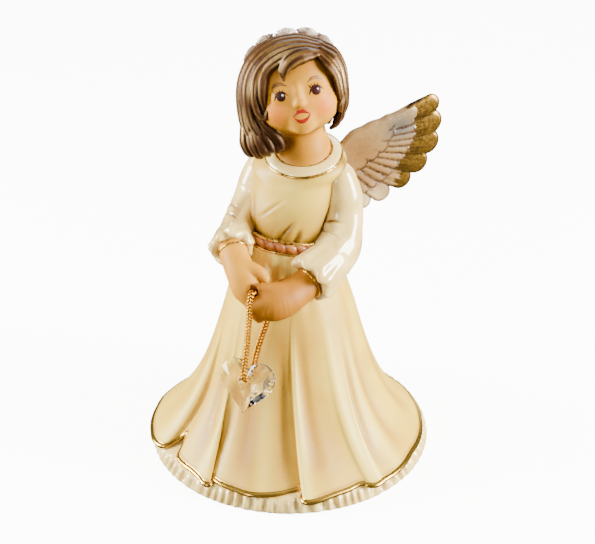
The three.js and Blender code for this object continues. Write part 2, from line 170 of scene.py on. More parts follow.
def add_piece(name, points, faces, material, body="figurine", replaces=None,
              fields=None, flat=False):
    """One piece of the object. fields are per-point numbers that its material reads."""
    mesh = bpy.data.meshes.new(name)
    mesh.vertices.add(len(points))
    mesh.vertices.foreach_set("co", (np.asarray(points, float) * MM).ravel())
    groups = faces if isinstance(faces, list) else [faces]
    corners = np.concatenate([group.ravel() for group in groups])
    sizes = np.concatenate([np.full(len(group), group.shape[1]) for group in groups])
    mesh.loops.add(len(corners))
    mesh.loops.foreach_set("vertex_index", corners.astype(np.int32))
    mesh.polygons.add(len(sizes))
    starts = np.concatenate([[0], np.cumsum(sizes)[:-1]])
    mesh.polygons.foreach_set("loop_start", starts.astype(np.int32))
    mesh.update(calc_edges=True)
    shape = bmesh.new()
    shape.from_mesh(mesh)
    bmesh.ops.recalc_face_normals(shape, faces=shape.faces)
    shape.to_mesh(mesh)
    shape.free()
    for field, values in (fields or {}).items():
        attribute = mesh.attributes.new(field, "FLOAT", "POINT")
        attribute.data.foreach_set("value", np.asarray(values, np.float32).ravel())
    mesh.materials.append(material)
    mesh.polygons.foreach_set("use_smooth", [not flat] * len(mesh.polygons))
    piece = bpy.data.objects.new(name, mesh)
    bpy.context.scene.collection.objects.link(piece)
    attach(piece, body)
    if replaces:
        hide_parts(replaces)
    return piece


def lattice_faces(rows, columns):
    """Quads of a lattice of rows by columns, whose columns join up."""
    row = np.arange(rows - 1)[:, None]
    column = np.arange(columns)[None, :]
    after = (column + 1) % columns
    corners = [row * columns + column, row * columns + after,
               (row + 1) * columns + after, (row + 1) * columns + column]
    return np.stack(corners, -1).reshape(-1, 4)


def tube(lattice):
    """A lattice of rows by columns as a closed tube: its points, and quads with two end fans."""
    rows, columns = lattice.shape[:2]
    points = np.vstack([lattice.reshape(-1, 3), lattice[0].mean(0), lattice[-1].mean(0)])
    column = np.arange(columns)
    after = (column + 1) % columns
    first = np.stack([after, column, np.full(columns, rows * columns)], 1)
    last_row = (rows - 1) * columns
    last = np.stack([last_row + column, last_row + after, np.full(columns, rows * columns + 1)], 1)
    return points, [lattice_faces(rows, columns), first, last]


def ring(lattice):
    """A lattice that closes both ways, such as a hoop."""
    rows, columns = lattice.shape[:2]
    faces = lattice_faces(rows + 1, columns) % (rows * columns)
    return lattice.reshape(-1, 3), faces


def swept(path, across, outward, section_across, section_outward):
    """A section carried along a path; the section may change from row to row."""
    return (path[:, None] + across[:, None] * section_across[..., None]
            + outward[:, None] * section_outward[..., None])


def slope_of(field, points, step):
    """Which way a field rises at some points, and how fast."""
    return np.stack([(field(points + step * e) - field(points - step * e)) / (2 * step)
                     for e in np.eye(3)], 1)


def polygonise(field, low, high, cell):
    """The closed surface where a field is zero; the field is negative inside."""
    cell *= COARSE
    low = np.asarray(low, float)
    counts = np.ceil((np.asarray(high) - low) / cell).astype(int) + 1
    axes = [low[k] + cell * np.arange(counts[k]) for k in range(3)]
    grid = np.stack(np.meshgrid(*axes, indexing="ij"), -1)
    value = field(grid.reshape(-1, 3)).reshape(counts)
    inside = value < 0
    n = counts - 1
    steps = [np.array((i, j, k)) for i in (0, 1) for j in (0, 1) for k in (0, 1)]
    total = sum(inside[s[0]:n[0] + s[0], s[1]:n[1] + s[1], s[2]:n[2] + s[2]].astype(int)
                for s in steps)
    cells = np.argwhere((total > 0) & (total < 8))
    number = np.full(n, -1)
    number[tuple(cells.T)] = np.arange(len(cells))
    middle = np.zeros((len(cells), 3))
    hits = np.zeros(len(cells))
    for axis in range(3):
        along = np.eye(3, dtype=int)[axis]
        for step in steps:
            if step[axis]:
                continue
            a = value[tuple((cells + step).T)]
            b = value[tuple((cells + step + along).T)]
            crossed = (a < 0) != (b < 0)
            part = np.where(crossed, a / np.where(a == b, 1, a - b), 0)
            middle += np.where(crossed[:, None], step + along * part[:, None], 0)
            hits += crossed
    points = low + cell * (cells + middle / hits[:, None])
    faces = []
    for axis in range(3):
        one, two = [np.eye(3, dtype=int)[(axis + k) % 3] for k in (1, 2)]
        along = np.eye(3, dtype=int)[axis]
        edge = inside[tuple(slice(0, c - s) for c, s in zip(counts, along))]
        other = inside[tuple(slice(s, None) for s in along)]
        places = np.argwhere(edge != other)
        places = places[(places[:, (axis + 1) % 3] > 0) & (places[:, (axis + 2) % 3] > 0)]
        places = places[np.all(places < n, axis=1)]
        quad = [number[tuple((places - one * i - two * j).T)]
                for i, j in ((1, 1), (0, 1), (0, 0), (1, 0))]
        faces.append(np.stack(quad, 1))
    faces = np.vstack(faces)
    step = 0.3 * cell
    for _ in range(2):
        slope = slope_of(field, points, step)
        move = field(points)[:, None] * slope / np.maximum((slope ** 2).sum(1), 0.05)[:, None]
        size = np.linalg.norm(move, axis=1, keepdims=True)
        points = points - move * np.minimum(1, 0.4 * cell / np.maximum(size, 1e-9))
    return points, faces


# ------------------------------------------------------------------ fields

FAR = 6.0                                # a field beyond this isn't worked out
HAND_CELL, HEAD_CELL, HAIR_CELL, WING_CELL = 0.42, 0.5, 0.36, 0.33


def blended(a, b, blend):
    """The union of two fields with a rounded join."""
    part = np.clip(0.5 + 0.5 * (b - a) / blend, 0, 1)
    return mix(b, a, part) - blend * part * (1 - part)


def ellipsoid_field(p, centre, radii):
    q = p - np.asarray(centre, float)
    radii = np.asarray(radii, float)
    near = np.linalg.norm(q / radii, axis=1)
    slope = np.linalg.norm(q / radii ** 2, axis=1)
    return near * (near - 1) / np.maximum(slope, 1e-6)


def nearest_on_path(p, path):
    """For each point: where along the path its nearest point is, counted in path steps."""
    best = np.full(len(p), np.inf)
    place = np.zeros(len(p))
    for i, (a, b) in enumerate(zip(path[:-1], path[1:])):
        step = b - a
        part = np.clip(((p - a) @ step) / (step @ step), 0, 1)
        away = ((p - a - part[:, None] * step) ** 2).sum(1)
        closer = away < best
        best[closer] = away[closer]
        place[closer] = i + part[closer]
    return place


def at_place(values, place):
    """Values of a path's points, read between them."""
    low = np.minimum(place.astype(int), len(values) - 2)
    part = place - low
    if values.ndim > 1:
        part = part[:, None]
    return mix(values[low], values[low + 1], part)


class Limb:
    """A round-ended body along a path, wider than it is deep, with grooves along it."""

    def __init__(self, points, radii, centre=(0, 0, 0), depth=1.0, grooves=0, groove_depth=0.0,
                 steps=22):
        self.path = spline(points, steps)
        self.radii = spread(radii, steps)
        self.depth = depth
        self.grooves = grooves
        self.groove_depth = groove_depth
        outward = unit(self.path - np.asarray(centre, float))
        self.along, self.across, self.outward = frames(self.path, outward)

    def section(self, p):
        """Where points lie: place along the path, radius there, and their section coordinates."""
        place = nearest_on_path(p, self.path)
        radius = at_place(self.radii, place)
        away = p - at_place(self.path, place)
        a = (away * at_place(self.across, place)).sum(1) / radius
        b = (away * at_place(self.outward, place)).sum(1) / (radius * self.depth)
        c = (away * at_place(self.along, place)).sum(1) / radius
        return place, radius, a, b, c

    def field(self, p):
        """About how far points lie outside the limb."""
        value = np.full(len(p), FAR)
        low = (self.path - self.radii[:, None]).min(0) - 1.5
        high = (self.path + self.radii[:, None]).max(0) + 1.5
        near = np.all((p > low) & (p < high), axis=1)
        if near.any():
            _, radius, a, b, c = self.section(p[near])
            reach = np.sqrt(a * a + b * b + c * c)
            if self.grooves:
                phase = np.arctan2(a, b) * self.grooves
                reach = reach / (1 - self.groove_depth * (0.5 - 0.5 * np.cos(phase)))
            value[near] = (reach - 1) * radius * min(self.depth, 1.0)
        return value


# ------------------------------------------------------------------ materials

def linear(hexcode):
    """A hex colour as linear light."""
    values = [int(hexcode[i:i + 2], 16) / 255 for i in (0, 2, 4)]
    return [v / 12.92 if v <= 0.04045 else ((v + 0.055) / 1.055) ** 2.4 for v in values] + [1.0]


class Paint:
    """A short way to write a procedural material."""

    def __init__(self, name, roughness=0.4, coat=0.0, subsurface=0.0, metallic=0.0, specular=0.5):
        self.material = bpy.data.materials.new(name)
        self.material.use_nodes = True
        self.tree = self.material.node_tree
        self.shader = self.tree.nodes["Principled BSDF"]
        self.finish("Roughness", roughness)
        self.finish("Metallic", metallic)
        self.finish("Specular IOR Level", specular)
        self.finish("Coat Weight", coat)
        self.finish("Coat Roughness", 0.06)
        if subsurface:
            self.finish("Subsurface Weight", subsurface)
            self.finish("Subsurface Radius", (0.9, 0.55, 0.32))
            self.finish("Subsurface Scale", 0.0012)
        self.place = self.node("ShaderNodeTexCoord").outputs["Object"]

    def node(self, kind, **settings):
        made = self.tree.nodes.new(kind)
        for key, value in settings.items():
            setattr(made, key, value)
        return made

    def set(self, node, socket, value):
        """Gives a socket a colour code, a number or another node's result."""
        if isinstance(value, str):
            value = linear(value)
        if isinstance(value, bpy.types.NodeSocket):
            self.tree.links.new(value, node.inputs[socket])
        else:
            node.inputs[socket].default_value = value

    def finish(self, socket, value):
        self.set(self.shader, socket, value)

    def colour(self, value):
        self.finish("Base Color", value)

    def field(self, name):
        return self.node("ShaderNodeAttribute", attribute_name=name).outputs["Fac"]

    def noise(self, size, detail=3.0, stretch=None, vector=None):
        """Noise whose lumps are about size millimetres across."""
        source = vector or self.place
        if stretch:
            mapping = self.node("ShaderNodeMapping")
            self.set(mapping, "Vector", source)
            self.set(mapping, "Scale", stretch)
            source = mapping.outputs["Vector"]
        texture = self.node("ShaderNodeTexNoise")
        self.set(texture, "Vector", source)
        self.set(texture, "Scale", 1 / (size * MM))
        self.set(texture, "Detail", detail)
        return texture.outputs["Fac"]

    def math(self, operation, a, b, clamp=False):
        made = self.node("ShaderNodeMath", operation=operation, use_clamp=clamp)
        self.set(made, 0, a)
        self.set(made, 1, b)
        return made.outputs[0]

    def times(self, a, b, clamp=False):
        return self.math("MULTIPLY", a, b, clamp)

    def ramp(self, value, low, high, start=0.0, end=1.0):
        made = self.node("ShaderNodeMapRange", interpolation_type="SMOOTHSTEP")
        for socket, number in zip(("Value", "From Min", "From Max", "To Min", "To Max"),
                                  (value, low, high, start, end)):
            self.set(made, socket, number)
        return made.outputs["Result"]

    def patches(self, size, detail, low, high, start=0.0, end=1.0):
        """Noise brought between two values."""
        return self.ramp(self.noise(size, detail), low, high, start, end)

    def blend(self, a, b, amount):
        made = self.node("ShaderNodeMix", data_type="RGBA")
        self.set(made, "Factor", amount)
        self.set(made, 6, a)             # the colour sockets of this node share their names
        self.set(made, 7, b)
        return made.outputs[2]

    def bump(self, height, distance, strength=0.6):
        made = self.node("ShaderNodeBump")
        self.set(made, "Height", height)
        self.set(made, "Distance", distance * MM)
        self.set(made, "Strength", strength)
        self.finish("Normal", made.outputs["Normal"])

    def bisque_shade(self, low, high):
        """Airbrushed shade, a little speckled as dry bisque takes it."""
        speck = self.patches(0.35, 2, 0.25, 0.75, low, high)
        return self.times(self.field("shade"), speck, True)


GOLD = "c39a3c"


def dress_paint():
    """Matte bisque: airbrushed pale yellow, painted ochre shade in the folds, painted highlights on the
    ridges and gold lustre on the hem.
    """
    paint = Paint("dress_bisque", subsurface=0.04, specular=0.3)
    soft = paint.blend("dcb83b", "cfa82d", paint.patches(14, 2, 0.35, 0.65))
    # Painted shade in ochre, from the shade field.
    colour = paint.blend(soft, "a06f12", paint.bisque_shade(0.82, 1.12))
    # Painted highlight, from the light field.
    colour = paint.blend(colour, "f3dc65", paint.field("light"))
    colour = paint.blend(colour, "8f6238", paint.patches(0.8, 3, 0.79, 0.83, 0, 0.5))
    gold = paint.field("gold")
    paint.colour(paint.blend(colour, GOLD, gold))
    paint.finish("Metallic", gold)
    rough = paint.patches(1.5, 3, 0.3, 0.7, 0.36, 0.5)
    paint.finish("Roughness", paint.ramp(gold, 0, 1, rough, 0.24))
    paint.bump(paint.noise(0.25, 2), 0.02, 0.25)
    return paint.material


def bodice_paint():
    """The same bisque with more painted shade airbrushed into it, and a painted highlight."""
    paint = Paint("bodice_bisque", subsurface=0.03, specular=0.3)
    colour = paint.blend("d2ac35", "84600f", paint.bisque_shade(0.85, 1.1))
    # Painted highlight high on the chest, from the light field.
    paint.colour(paint.blend(colour, "ecd055", paint.field("light")))
    paint.finish("Roughness", paint.patches(1.5, 3, 0.3, 0.7, 0.34, 0.46))
    paint.bump(paint.noise(0.25, 2), 0.02, 0.25)
    return paint.material


def pearl_paint():
    """Thick white glaze with a faint pearl lustre, and brown painted shade in folds and hollows where the
    fold_shade field says.
    """
    paint = Paint("pearl_glaze", coat=0.7, subsurface=0.1)
    body = paint.blend("ecd07c", "dfbd68", paint.patches(9, 2, 0.35, 0.65))
    # Brown painted shade in creases, crimps and frill hollows.
    fold_shade = paint.times(paint.field("fold_shade"), paint.patches(0.7, 3, 0.3, 0.6, 0.5, 1.0))
    paint.colour(paint.blend(body, "7d4a1e", fold_shade))
    paint.finish("Roughness", paint.patches(5, 2, 0.3, 0.7, 0.12, 0.24))
    paint.bump(paint.noise(3.5, 2), 0.12, 0.3)
    return paint.material


def skin_paint():
    """Satin peach bisque with airbrushed blush and ochre shading."""
    paint = Paint("skin_bisque", roughness=0.48, subsurface=0.1, specular=0.14)
    soft = paint.blend("c98c18", "bf8010", paint.patches(8, 2, 0.35, 0.65))
    colour = paint.blend(soft, "8a5206", paint.field("shade"))
    paint.colour(paint.blend(colour, "d9560c", paint.field("blush")))
    paint.bump(paint.noise(0.3, 2), 0.015, 0.2)
    return paint.material


def hair_paint():
    """Glossy brown glaze over modelled strands, painted lighter on their crests as a highlight and darker
    between them as shade, with gold lustre brushed on their crests.
    """
    paint = Paint("hair_glaze", specular=0.3)
    paint.finish("Specular Tint", "e8b27a")
    strands = paint.node("ShaderNodeCombineXYZ")
    paint.set(strands, "X", paint.field("across"))
    paint.set(strands, "Y", paint.field("along"))
    fine = paint.noise(1, 3, (2600, 60, 1), strands.outputs[0])
    broad = paint.noise(1, 2, (700, 35, 1), strands.outputs[0])
    crest = paint.field("crest")
    colour = paint.blend("1f0f06", "38200e", paint.ramp(fine, 0.35, 0.65))
    # The crests are painted lighter as a highlight, and the grooves between them darker as shade.
    colour = paint.blend(colour, "523018", paint.times(crest, 0.35))
    colour = paint.blend(colour, "150a04", paint.ramp(crest, 0.0, 0.3, 0.6, 0.0))
    streak = paint.times(paint.ramp(broad, 0.5, 0.6), paint.ramp(crest, 0.45, 0.8))
    gold = paint.times(streak, paint.field("lustre"), True)
    gilt = paint.times(paint.field("gilt"), paint.ramp(broad, 0.44, 0.56))
    gilt = paint.times(gilt, paint.ramp(crest, 0.1, 0.5), True)
    paint.colour(paint.blend(paint.blend(colour, "c79a40", gold), "e6c07c", gilt))
    paint.finish("Metallic", paint.times(paint.math("MAXIMUM", gold, gilt), 0.8))
    paint.finish("Roughness", paint.ramp(fine, 0.3, 0.7, 0.26, 0.42))
    paint.bump(fine, 0.05, 0.35)
    return paint.material


def gold_paint():
    """Burnished gold lustre, brushed by hand, with darker worn spots."""
    paint = Paint("gold_lustre", metallic=0.85)
    paint.colour(paint.blend(GOLD, "65491a", paint.patches(1.2, 3, 0.5, 0.68)))
    paint.finish("Roughness", paint.patches(0.8, 3, 0.3, 0.7, 0.14, 0.32))
    paint.bump(paint.noise(0.6, 2), 0.05, 0.4)
    return paint.material


def belt_paint():
    """Terracotta, with painted shade between the strands."""
    paint = Paint("belt_terracotta", roughness=0.36, coat=0.2)
    colour = paint.blend("a86828", "824414", paint.patches(1.4, 3, 0.35, 0.68))
    # Painted shade in the grooves between the strands.
    paint.colour(paint.blend(colour, "6f3416", paint.field("groove")))
    paint.bump(paint.noise(0.5, 3), 0.05, 0.4)
    return paint.material


def rose_paint():
    """Cream glaze, pink in the middle of the rose, with brown petal edges."""
    paint = Paint("rose_glaze", roughness=0.2, coat=0.6, subsurface=0.1)
    body = paint.blend("f4e6cc", "d8a894", paint.field("deep"))
    paint.colour(paint.blend(body, "6a2c20", paint.field("edge")))
    paint.bump(paint.noise(0.6, 2), 0.04, 0.3)
    return paint.material


def wing_paint():
    """Beige glaze, brown feather lines, blue-grey in the middle and antique gold tips."""
    paint = Paint("wing_glaze", coat=0.25)
    body = paint.blend("8a6b3c", "6e4a1c", paint.field("warm"))
    body = paint.blend(body, "3c423f", paint.field("cool"))
    body = paint.blend(body, "d8bd8c", paint.field("pale"))
    brush = paint.patches(0.9, 3, 0.3, 0.65, 0.55, 1.0)
    body = paint.blend(body, "2e1404", paint.times(paint.field("line"), brush, True))
    gold = paint.field("gold")
    worn = paint.times(paint.patches(1.1, 3, 0.3, 0.7, 0.85, 1.1), paint.field("streak"), True)
    paint.colour(paint.blend(body, paint.blend("7c5a16", "1e1204", worn), gold))
    paint.finish("Metallic", paint.times(gold, 0.85))
    paint.finish("Roughness", paint.patches(1.1, 3, 0.3, 0.7, 0.22, 0.38))
    paint.bump(paint.noise(0.7, 3), 0.06, 0.4)
    return paint.material


def ribbon_paint():
    """Braided lurex: warm gold thread that sparkles."""
    paint = Paint("ribbon_lurex", metallic=1.0)
    glint = paint.noise(0.22, 2)
    colour = paint.blend("ee9a10", "ffcf40", paint.ramp(glint, 0.5, 0.66))
    # Painted shade in the grooves between the stitches.
    paint.colour(paint.blend(colour, "301502", paint.field("groove")))
    paint.finish("Roughness", paint.ramp(glint, 0.4, 0.65, 0.5, 0.2))
    paint.bump(glint, 0.05, 0.5)
    return paint.material


def crystal_paint():
    paint = Paint("cut_crystal", roughness=0.0)
    paint.finish("Transmission Weight", 1.0)
    paint.finish("IOR", 1.4)
    paint.colour("fffaf0")
    return paint.material


def bisque_paint():
    """Unglazed clay on the floor of the hollow skirt."""
    paint = Paint("raw_bisque", roughness=0.6)
    paint.colour(paint.blend("e8e0d4", "d9cebf", paint.patches(4, 4, 0.35, 0.65)))
    paint.bump(paint.noise(0.4, 3), 0.05, 0.5)
    return paint.material


def face_paint(name, shade, deep, roughness):
    """China paint, a little uneven as a brush leaves it."""
    paint = Paint(name, roughness=roughness, specular=0.2)
    paint.colour(paint.blend(shade, deep, paint.patches(0.9, 2, 0.4, 0.62)))
    return paint.material


# ------------------------------------------------------------------ camera, lights and floor

CAMERA_PLACE = (190.18, -407.84, 313.97)
CAMERA_TARGET = (2.38, 1.11, 64.125)
CAMERA_LENS = 92.99
LIGHTS_TARGET = (0, 0, 75)
FLOOR_REACH = 3.0                        # metres


def add_aimed(name, data, place, target):
    """A camera or a light at a place, turned to a target."""
    thing = bpy.data.objects.new(name, data)
    bpy.context.scene.collection.objects.link(thing)
    thing.location = Vector(place) * MM
    way = Vector(target) * MM - thing.location
    thing.rotation_euler = way.to_track_quat("-Z", "Y").to_euler()
    return thing


def add_camera():
    data = bpy.data.cameras.new("camera")
    data.lens = CAMERA_LENS
    data.sensor_width = 36
    data.clip_start = 0.01
    bpy.context.scene.camera = add_aimed("camera", data, CAMERA_PLACE, CAMERA_TARGET)


def add_light(name, place, size, power, colour=(1, 1, 1)):
    """A rectangular studio light, aimed at the middle of the figurine."""
    data = bpy.data.lights.new(name, "AREA")
    data.shape = "RECTANGLE"
    data.size = size[0] * MM
    data.size_y = size[1] * MM
    data.energy = power
    data.color = colour
    add_aimed(name, data, place, LIGHTS_TARGET)


def add_studio():
    add_light("right_softbox", (550, 90, 230), (240, 420), 22.0, (1, 0.985, 0.96))
    add_light("left_softbox", (-500, -230, 230), (220, 380), 16.0, (1, 0.975, 0.94))
    add_light("front_softbox", (-120, -560, 240), (160, 260), 2.2)
    add_light("top_light", (40, 120, 560), (420, 420), 0.5)
    add_light("back_light", (-120, 520, 260), (400, 300), 1.5)
    world = bpy.data.worlds.new("studio")
    world.use_nodes = True
    background = world.node_tree.nodes["Background"].inputs
    background["Color"].default_value = (1, 0.99, 0.975, 1)
    background["Strength"].default_value = 0.25
    bpy.context.scene.world = world


def add_floor():
    paint = Paint("floor", roughness=0.9)
    paint.colour((0.9, 0.895, 0.885, 1))
    paint.finish("Emission Color", (1, 0.995, 0.985, 1))
    paint.finish("Emission Strength", 9.0)
    mesh = bpy.data.meshes.new("floor")
    corners = [(-1, -1), (1, -1), (1, 1), (-1, 1)]
    mesh.from_pydata([(x * FLOOR_REACH, y * FLOOR_REACH, 0) for x, y in corners], [], [(0, 1, 2, 3)])
    mesh.materials.append(paint.material)
    floor = bpy.data.objects.new("floor", mesh)
    bpy.context.scene.collection.objects.link(floor)
    floor.visible_diffuse = False        # the bright floor doesn't light the figurine from below
    floor.visible_glossy = False
    floor.visible_transmission = False


# ------------------------------------------------------------------ ribbon and heart

# The same route as the CAD ribbon: out of the hands, down to the heart, through it and back.
ROUTE = [
    (2.53, -28.77, 69.18), (2.2, -30.2, 71.8), (2.05, -30.85, 72.9), (1.9, -31.8, 73.3),
    (1.78, -32.7, 72.7), (1.72, -33.1, 71.2), (1.63, -33.6, 67), (1.5, -34.5, 60.5),
    (1.38, -35.9, 53), (1.32, -37.3, 48.1), (1.3, -38.05, 45.75), (1.3, -37.6, 43.6),
    (1.3, -35.3, 42.5), (1.3, -32.9, 42.15), (1.3, -31, 43.65), (1.38, -30.35, 46),
    (2, -28.8, 51), (2.9, -26.4, 56), (3.45, -24.8, 59.3), (3.6, -24.2, 60.8), (3.27, -25.63, 63.42),
]
RIBBON_WIDTH = 2.1
RIBBON_THICKNESS = 0.62
STITCH = 1.1                            # length of one stitch of the braid
TUNNEL_TOP = ROUTE[1]
TUNNEL_BOTTOM = ROUTE[19]
TUNNEL_RADIUS = 1.5


def add_ribbon(material):
    """A flat braid of two stitched columns, swept along the route."""
    path = spline(ROUTE, 640)
    along = unit(np.gradient(path, axis=0))
    across = unit(np.array([1.0, 0, 0]) - along * along[:, :1])
    outward = np.cross(across, along)
    length = travelled(path)
    angle = np.radians(circle(40))[None, :]
    side, face = np.cos(angle), np.sin(angle)
    column = 2 * np.abs(side) - 1
    stitch = np.cos(2 * math.pi * (length[:, None] / STITCH - 0.3 * column - 0.25 * np.sign(side)))
    raised = np.clip(1 - column ** 2, 0, 1) * (0.5 + 0.5 * stitch)
    edge = 1 + 0.05 * stitch * np.abs(side) ** 4
    half = RIBBON_WIDTH / 2
    section_face = np.sign(face) * np.abs(face) ** 0.6 * (0.4 * RIBBON_THICKNESS + 0.42 * raised)
    # Painted shade: darker between the raised stitches.
    groove = np.clip(1.0 - 1.5 * raised, 0, 1) * np.abs(face) ** 0.2
    points, faces = tube(swept(path, across, outward, half * side * edge, section_face))
    piece = add_piece("braided_ribbon", points, faces, material, "ribbon", "ribbon",
                      {"groove": np.append(groove.ravel(), [0, 0])})


HEART_HOLE = np.array([1.3, -35.2, 42.8])
HEART_LEAN = 18
HEART_WIDTH, HEART_HEIGHT = 19.2, 17.7
HEART_DEPTH, HEART_GIRDLE = 4.2, 1.2
OUTLINE_DROP, POINT_DROP = 1.5, 3.4      # outline and thickest point, below the hole
HEART_HOLE_RADIUS = 1.7
HEART_WAVE_HEIGHT = 26.9                 # from tip to lobes in the formula of the outline
RIM_COUNT, STAR_COUNT = 24, 12           # corners of the rim, and of the ring of facets inside it
STAR_REACHES = (0.48, 0.56)              # how far out the ring's corners lie, by turns


def heart_rim(angle):
    """The outline of the heart, from its notch round to its tip and back, with the hole at 0, 0."""
    x = HEART_WIDTH / 2 * np.sin(angle) ** 3
    waves = (13 * np.cos(angle) - 4 * np.cos(2 * angle) - 2 * np.cos(3 * angle)
             - 0.6 * np.cos(4 * angle))
    return x, HEART_HEIGHT / HEART_WAVE_HEIGHT * waves - OUTLINE_DROP


def add_heart(material):
    """A cut heart: kite facets round one point, half-kites to the rim, and the same behind."""
    fine = np.linspace(0, 2 * math.pi, 1201)
    outline = np.stack(heart_rim(fine), 1)
    length = travelled(outline)
    even = np.interp(np.linspace(0, length[-1], RIM_COUNT, endpoint=False), length, fine)
    points, faces = [], []
    for side in (-1, 1):
        base = len(points)
        x, z = heart_rim(even)
        points += [(a, side * HEART_GIRDLE / 2, b) for a, b in zip(x, z)]
        x, z = heart_rim(even[1::2])
        for k, (a, b) in enumerate(zip(x, z)):
            reach = STAR_REACHES[k % 2]
            depth = HEART_GIRDLE / 2 + (HEART_DEPTH - HEART_GIRDLE / 2) * (1 - reach) * 1.1
            points.append((reach * a, side * depth, reach * b - (1 - reach) * POINT_DROP))
        points.append((0, side * HEART_DEPTH, -POINT_DROP))
        centre = base + RIM_COUNT + STAR_COUNT
        for k in range(STAR_COUNT):
            here, after = [base + RIM_COUNT + (k + j) % STAR_COUNT for j in range(2)]
            a, b, c = [base + (2 * k + j) % RIM_COUNT for j in range(3)]
            faces += [(centre, here, after), (here, a, b), (here, b, c), (here, c, after)]
    second = RIM_COUNT + STAR_COUNT + 1
    for k in range(RIM_COUNT):
        after = (k + 1) % RIM_COUNT
        faces += [(k, after, second + after), (k, second + after, second + k)]
    lean = turn("x", -HEART_LEAN)
    heart = add_piece("cut_crystal_heart", np.array(points) @ lean.T + HEART_HOLE, np.array(faces),
                      material, "heart", "crystal_heart", flat=True)
    drill(heart, HEART_HOLE, lean @ np.array([0, 1.0, 0]), HEART_HOLE_RADIUS)


def drill(piece, centre, axis, radius):
    """Cuts a round hole right through a piece."""
    bpy.ops.mesh.primitive_cylinder_add(vertices=28, radius=radius * MM, depth=20 * MM,
                                        location=centre * MM)
    cutter = bpy.context.object
    cutter.rotation_euler = Vector(axis).to_track_quat("Z", "Y").to_euler()
    modifier = piece.modifiers.new("hole", "BOOLEAN")
    modifier.object = cutter
    modifier.operation = "DIFFERENCE"
    modifier.solver = "EXACT"
    bpy.context.view_layer.update()
    result = piece.evaluated_get(bpy.context.evaluated_depsgraph_get())
    mesh = bpy.data.meshes.new_from_object(result)
    piece.modifiers.clear()
    piece.data = mesh
    bpy.data.objects.remove(cutter)


# ------------------------------------------------------------------ dress

FOOT_RADIUS = mm_box("petticoat")[1][0]
HEM_Z = mm_box("skirt")[0][2]
BELT_BOTTOM, BELT_TOP = [corner[2] for corner in mm_box("belt")]
WAIST_Z = 78.9
HEM_RADIUS = 46.9
WAIST_RADIUS = 15.1

# The hem, panel by panel: angle at the waist, angle at the hem, radius, and height above HEM_Z.
# Where the angle at the hem runs backwards, one panel folds over the next.
HEM = [
    (-95, -95, 45, 0), (-88, -87, 46, 0), (-82, -80.5, 47, 0), (-75, -73, 47.4, 0), (-64, -63, 48.2, 0),
    (-58, -55.5, 48.6, 0), (-53, -48.5, 48.7, 0), (-49, -43.3, 47.2, 0), (-47.8, -42.3, 45.6, 0.5),
    (-47, -42.2, 42.4, 1.8), (-46.2, -41.6, 39.6, 3.6), (-45.4, -39.8, 38.8, 4.6),
    (-44.6, -37.4, 40.2, 3.4), (-43.6, -34.8, 42.8, 1.4), (-42.4, -32.6, 44.8, 0.3),
    (-40, -29.6, 45.3, 0), (-36, -26, 45.5, 0), (-32, -20.2, 45.7, 0), (-28.5, -15.8, 46.3, -0.2),
    (-26, -11.6, 47.6, -0.5), (-24.6, -9.6, 47.2, -0.5), (-23.6, -10.4, 45.7, -0.2),
    (-22.6, -13.4, 44.9, 0.1), (-21.4, -16.2, 44.2, 0.3), (-20.4, -16.6, 43.7, 0.3),
    (-17.5, -12, 44.2, 0.1), (-12, -5.4, 45.3, 0), (-5, 1.9, 46.0, 0), (2, 8.6, 46.8, 0),
    (9, 14.2, 46.1, 0), (15, 19.6, 45.0, 0), (20, 24.2, 43.6, 0), (23, 28, 42.8, 0.3),
    (24.5, 31, 42.0, 0.6), (25.3, 31.8, 42.6, 0.3), (25.9, 30.4, 44.8, -0.2), (26.6, 29.8, 47.0, -0.5),
    (27.8, 31, 48.7, -0.6), (29.8, 34.4, 49, -0.4), (32.8, 38, 48.4, -0.2), (37, 42.8, 47.4, 0),
    (42, 49.6, 46.5, 0), (48, 54.6, 46, 0.3), (51.5, 57, 46.6, 0.2), (54, 58.2, 47.9, 0),
    (57, 60.6, 48.8, -0.2), (61, 64.6, 48.5, 0), (68, 71.2, 48.2, 0), (76, 79.2, 47.6, 0.2),
    (84, 87.2, 46.6, 0.2), (92, 94.5, 46.4, 0), (101, 102.4, 46.2, 0), (111, 111, 45.8, 0),
    (121, 121, 45.4, 0), (131, 131, 45, 0), (140, 140, 44.8, 0),
]
BACK_LOBES = 5                           # plain folds round the back, where nothing overlaps
BACK_START, BACK_END = 140, 265
BACK_RIDGE, BACK_DIP = 46.2, 44
WAIST_SCALE = 0.3                        # brings waist angles near the hem's millimetres
FOLD_RISE = 30                           # the height over which a fold turns by its stated angle

# Folds of the skirt: angle at the hem, how far it has turned FOLD_RISE up, half-width in degrees,
# strength, and the height where the fold has faded. Valleys get painted shade, ridges a painted highlight.
VALLEYS = [
    (-60, 0, 5, 0.3, 60), (-47, 1, 2.6, 0.4, 40), (-33, 2, 3.6, 0.7, 58), (-18, 3, 3, 0.6, 54),
    (-4, 0, 7, 0.7, 62), (19, 0, 4, 0.5, 60), (34.5, -0.5, 4.2, 0.7, 64), (42, 0, 7, 0.45, 60),
    (62.5, 6.5, 3, 0.8, 58), (80, 2, 5, 0.7, 62), (112, 0, 6, 0.5, 60),
]
RIDGES = [
    (-51, 0, 3, 0.5, 50), (-29.5, 10, 1.7, 0.8, 50), (8, 0, 5, 0.35, 60), (28.4, -0.4, 1.7, 0.9, 62),
    (56, 1, 4, 0.5, 70), (59.6, 6.5, 1.2, 0.9, 50), (72, 4, 3.5, 0.4, 60),
]


def skirt_radius(z):
    t = (WAIST_Z - z) / (WAIST_Z - HEM_Z)
    return WAIST_RADIUS + (HEM_RADIUS - WAIST_RADIUS) * (0.62 * t + 0.38 * np.clip(t, 0, 2) ** 6)


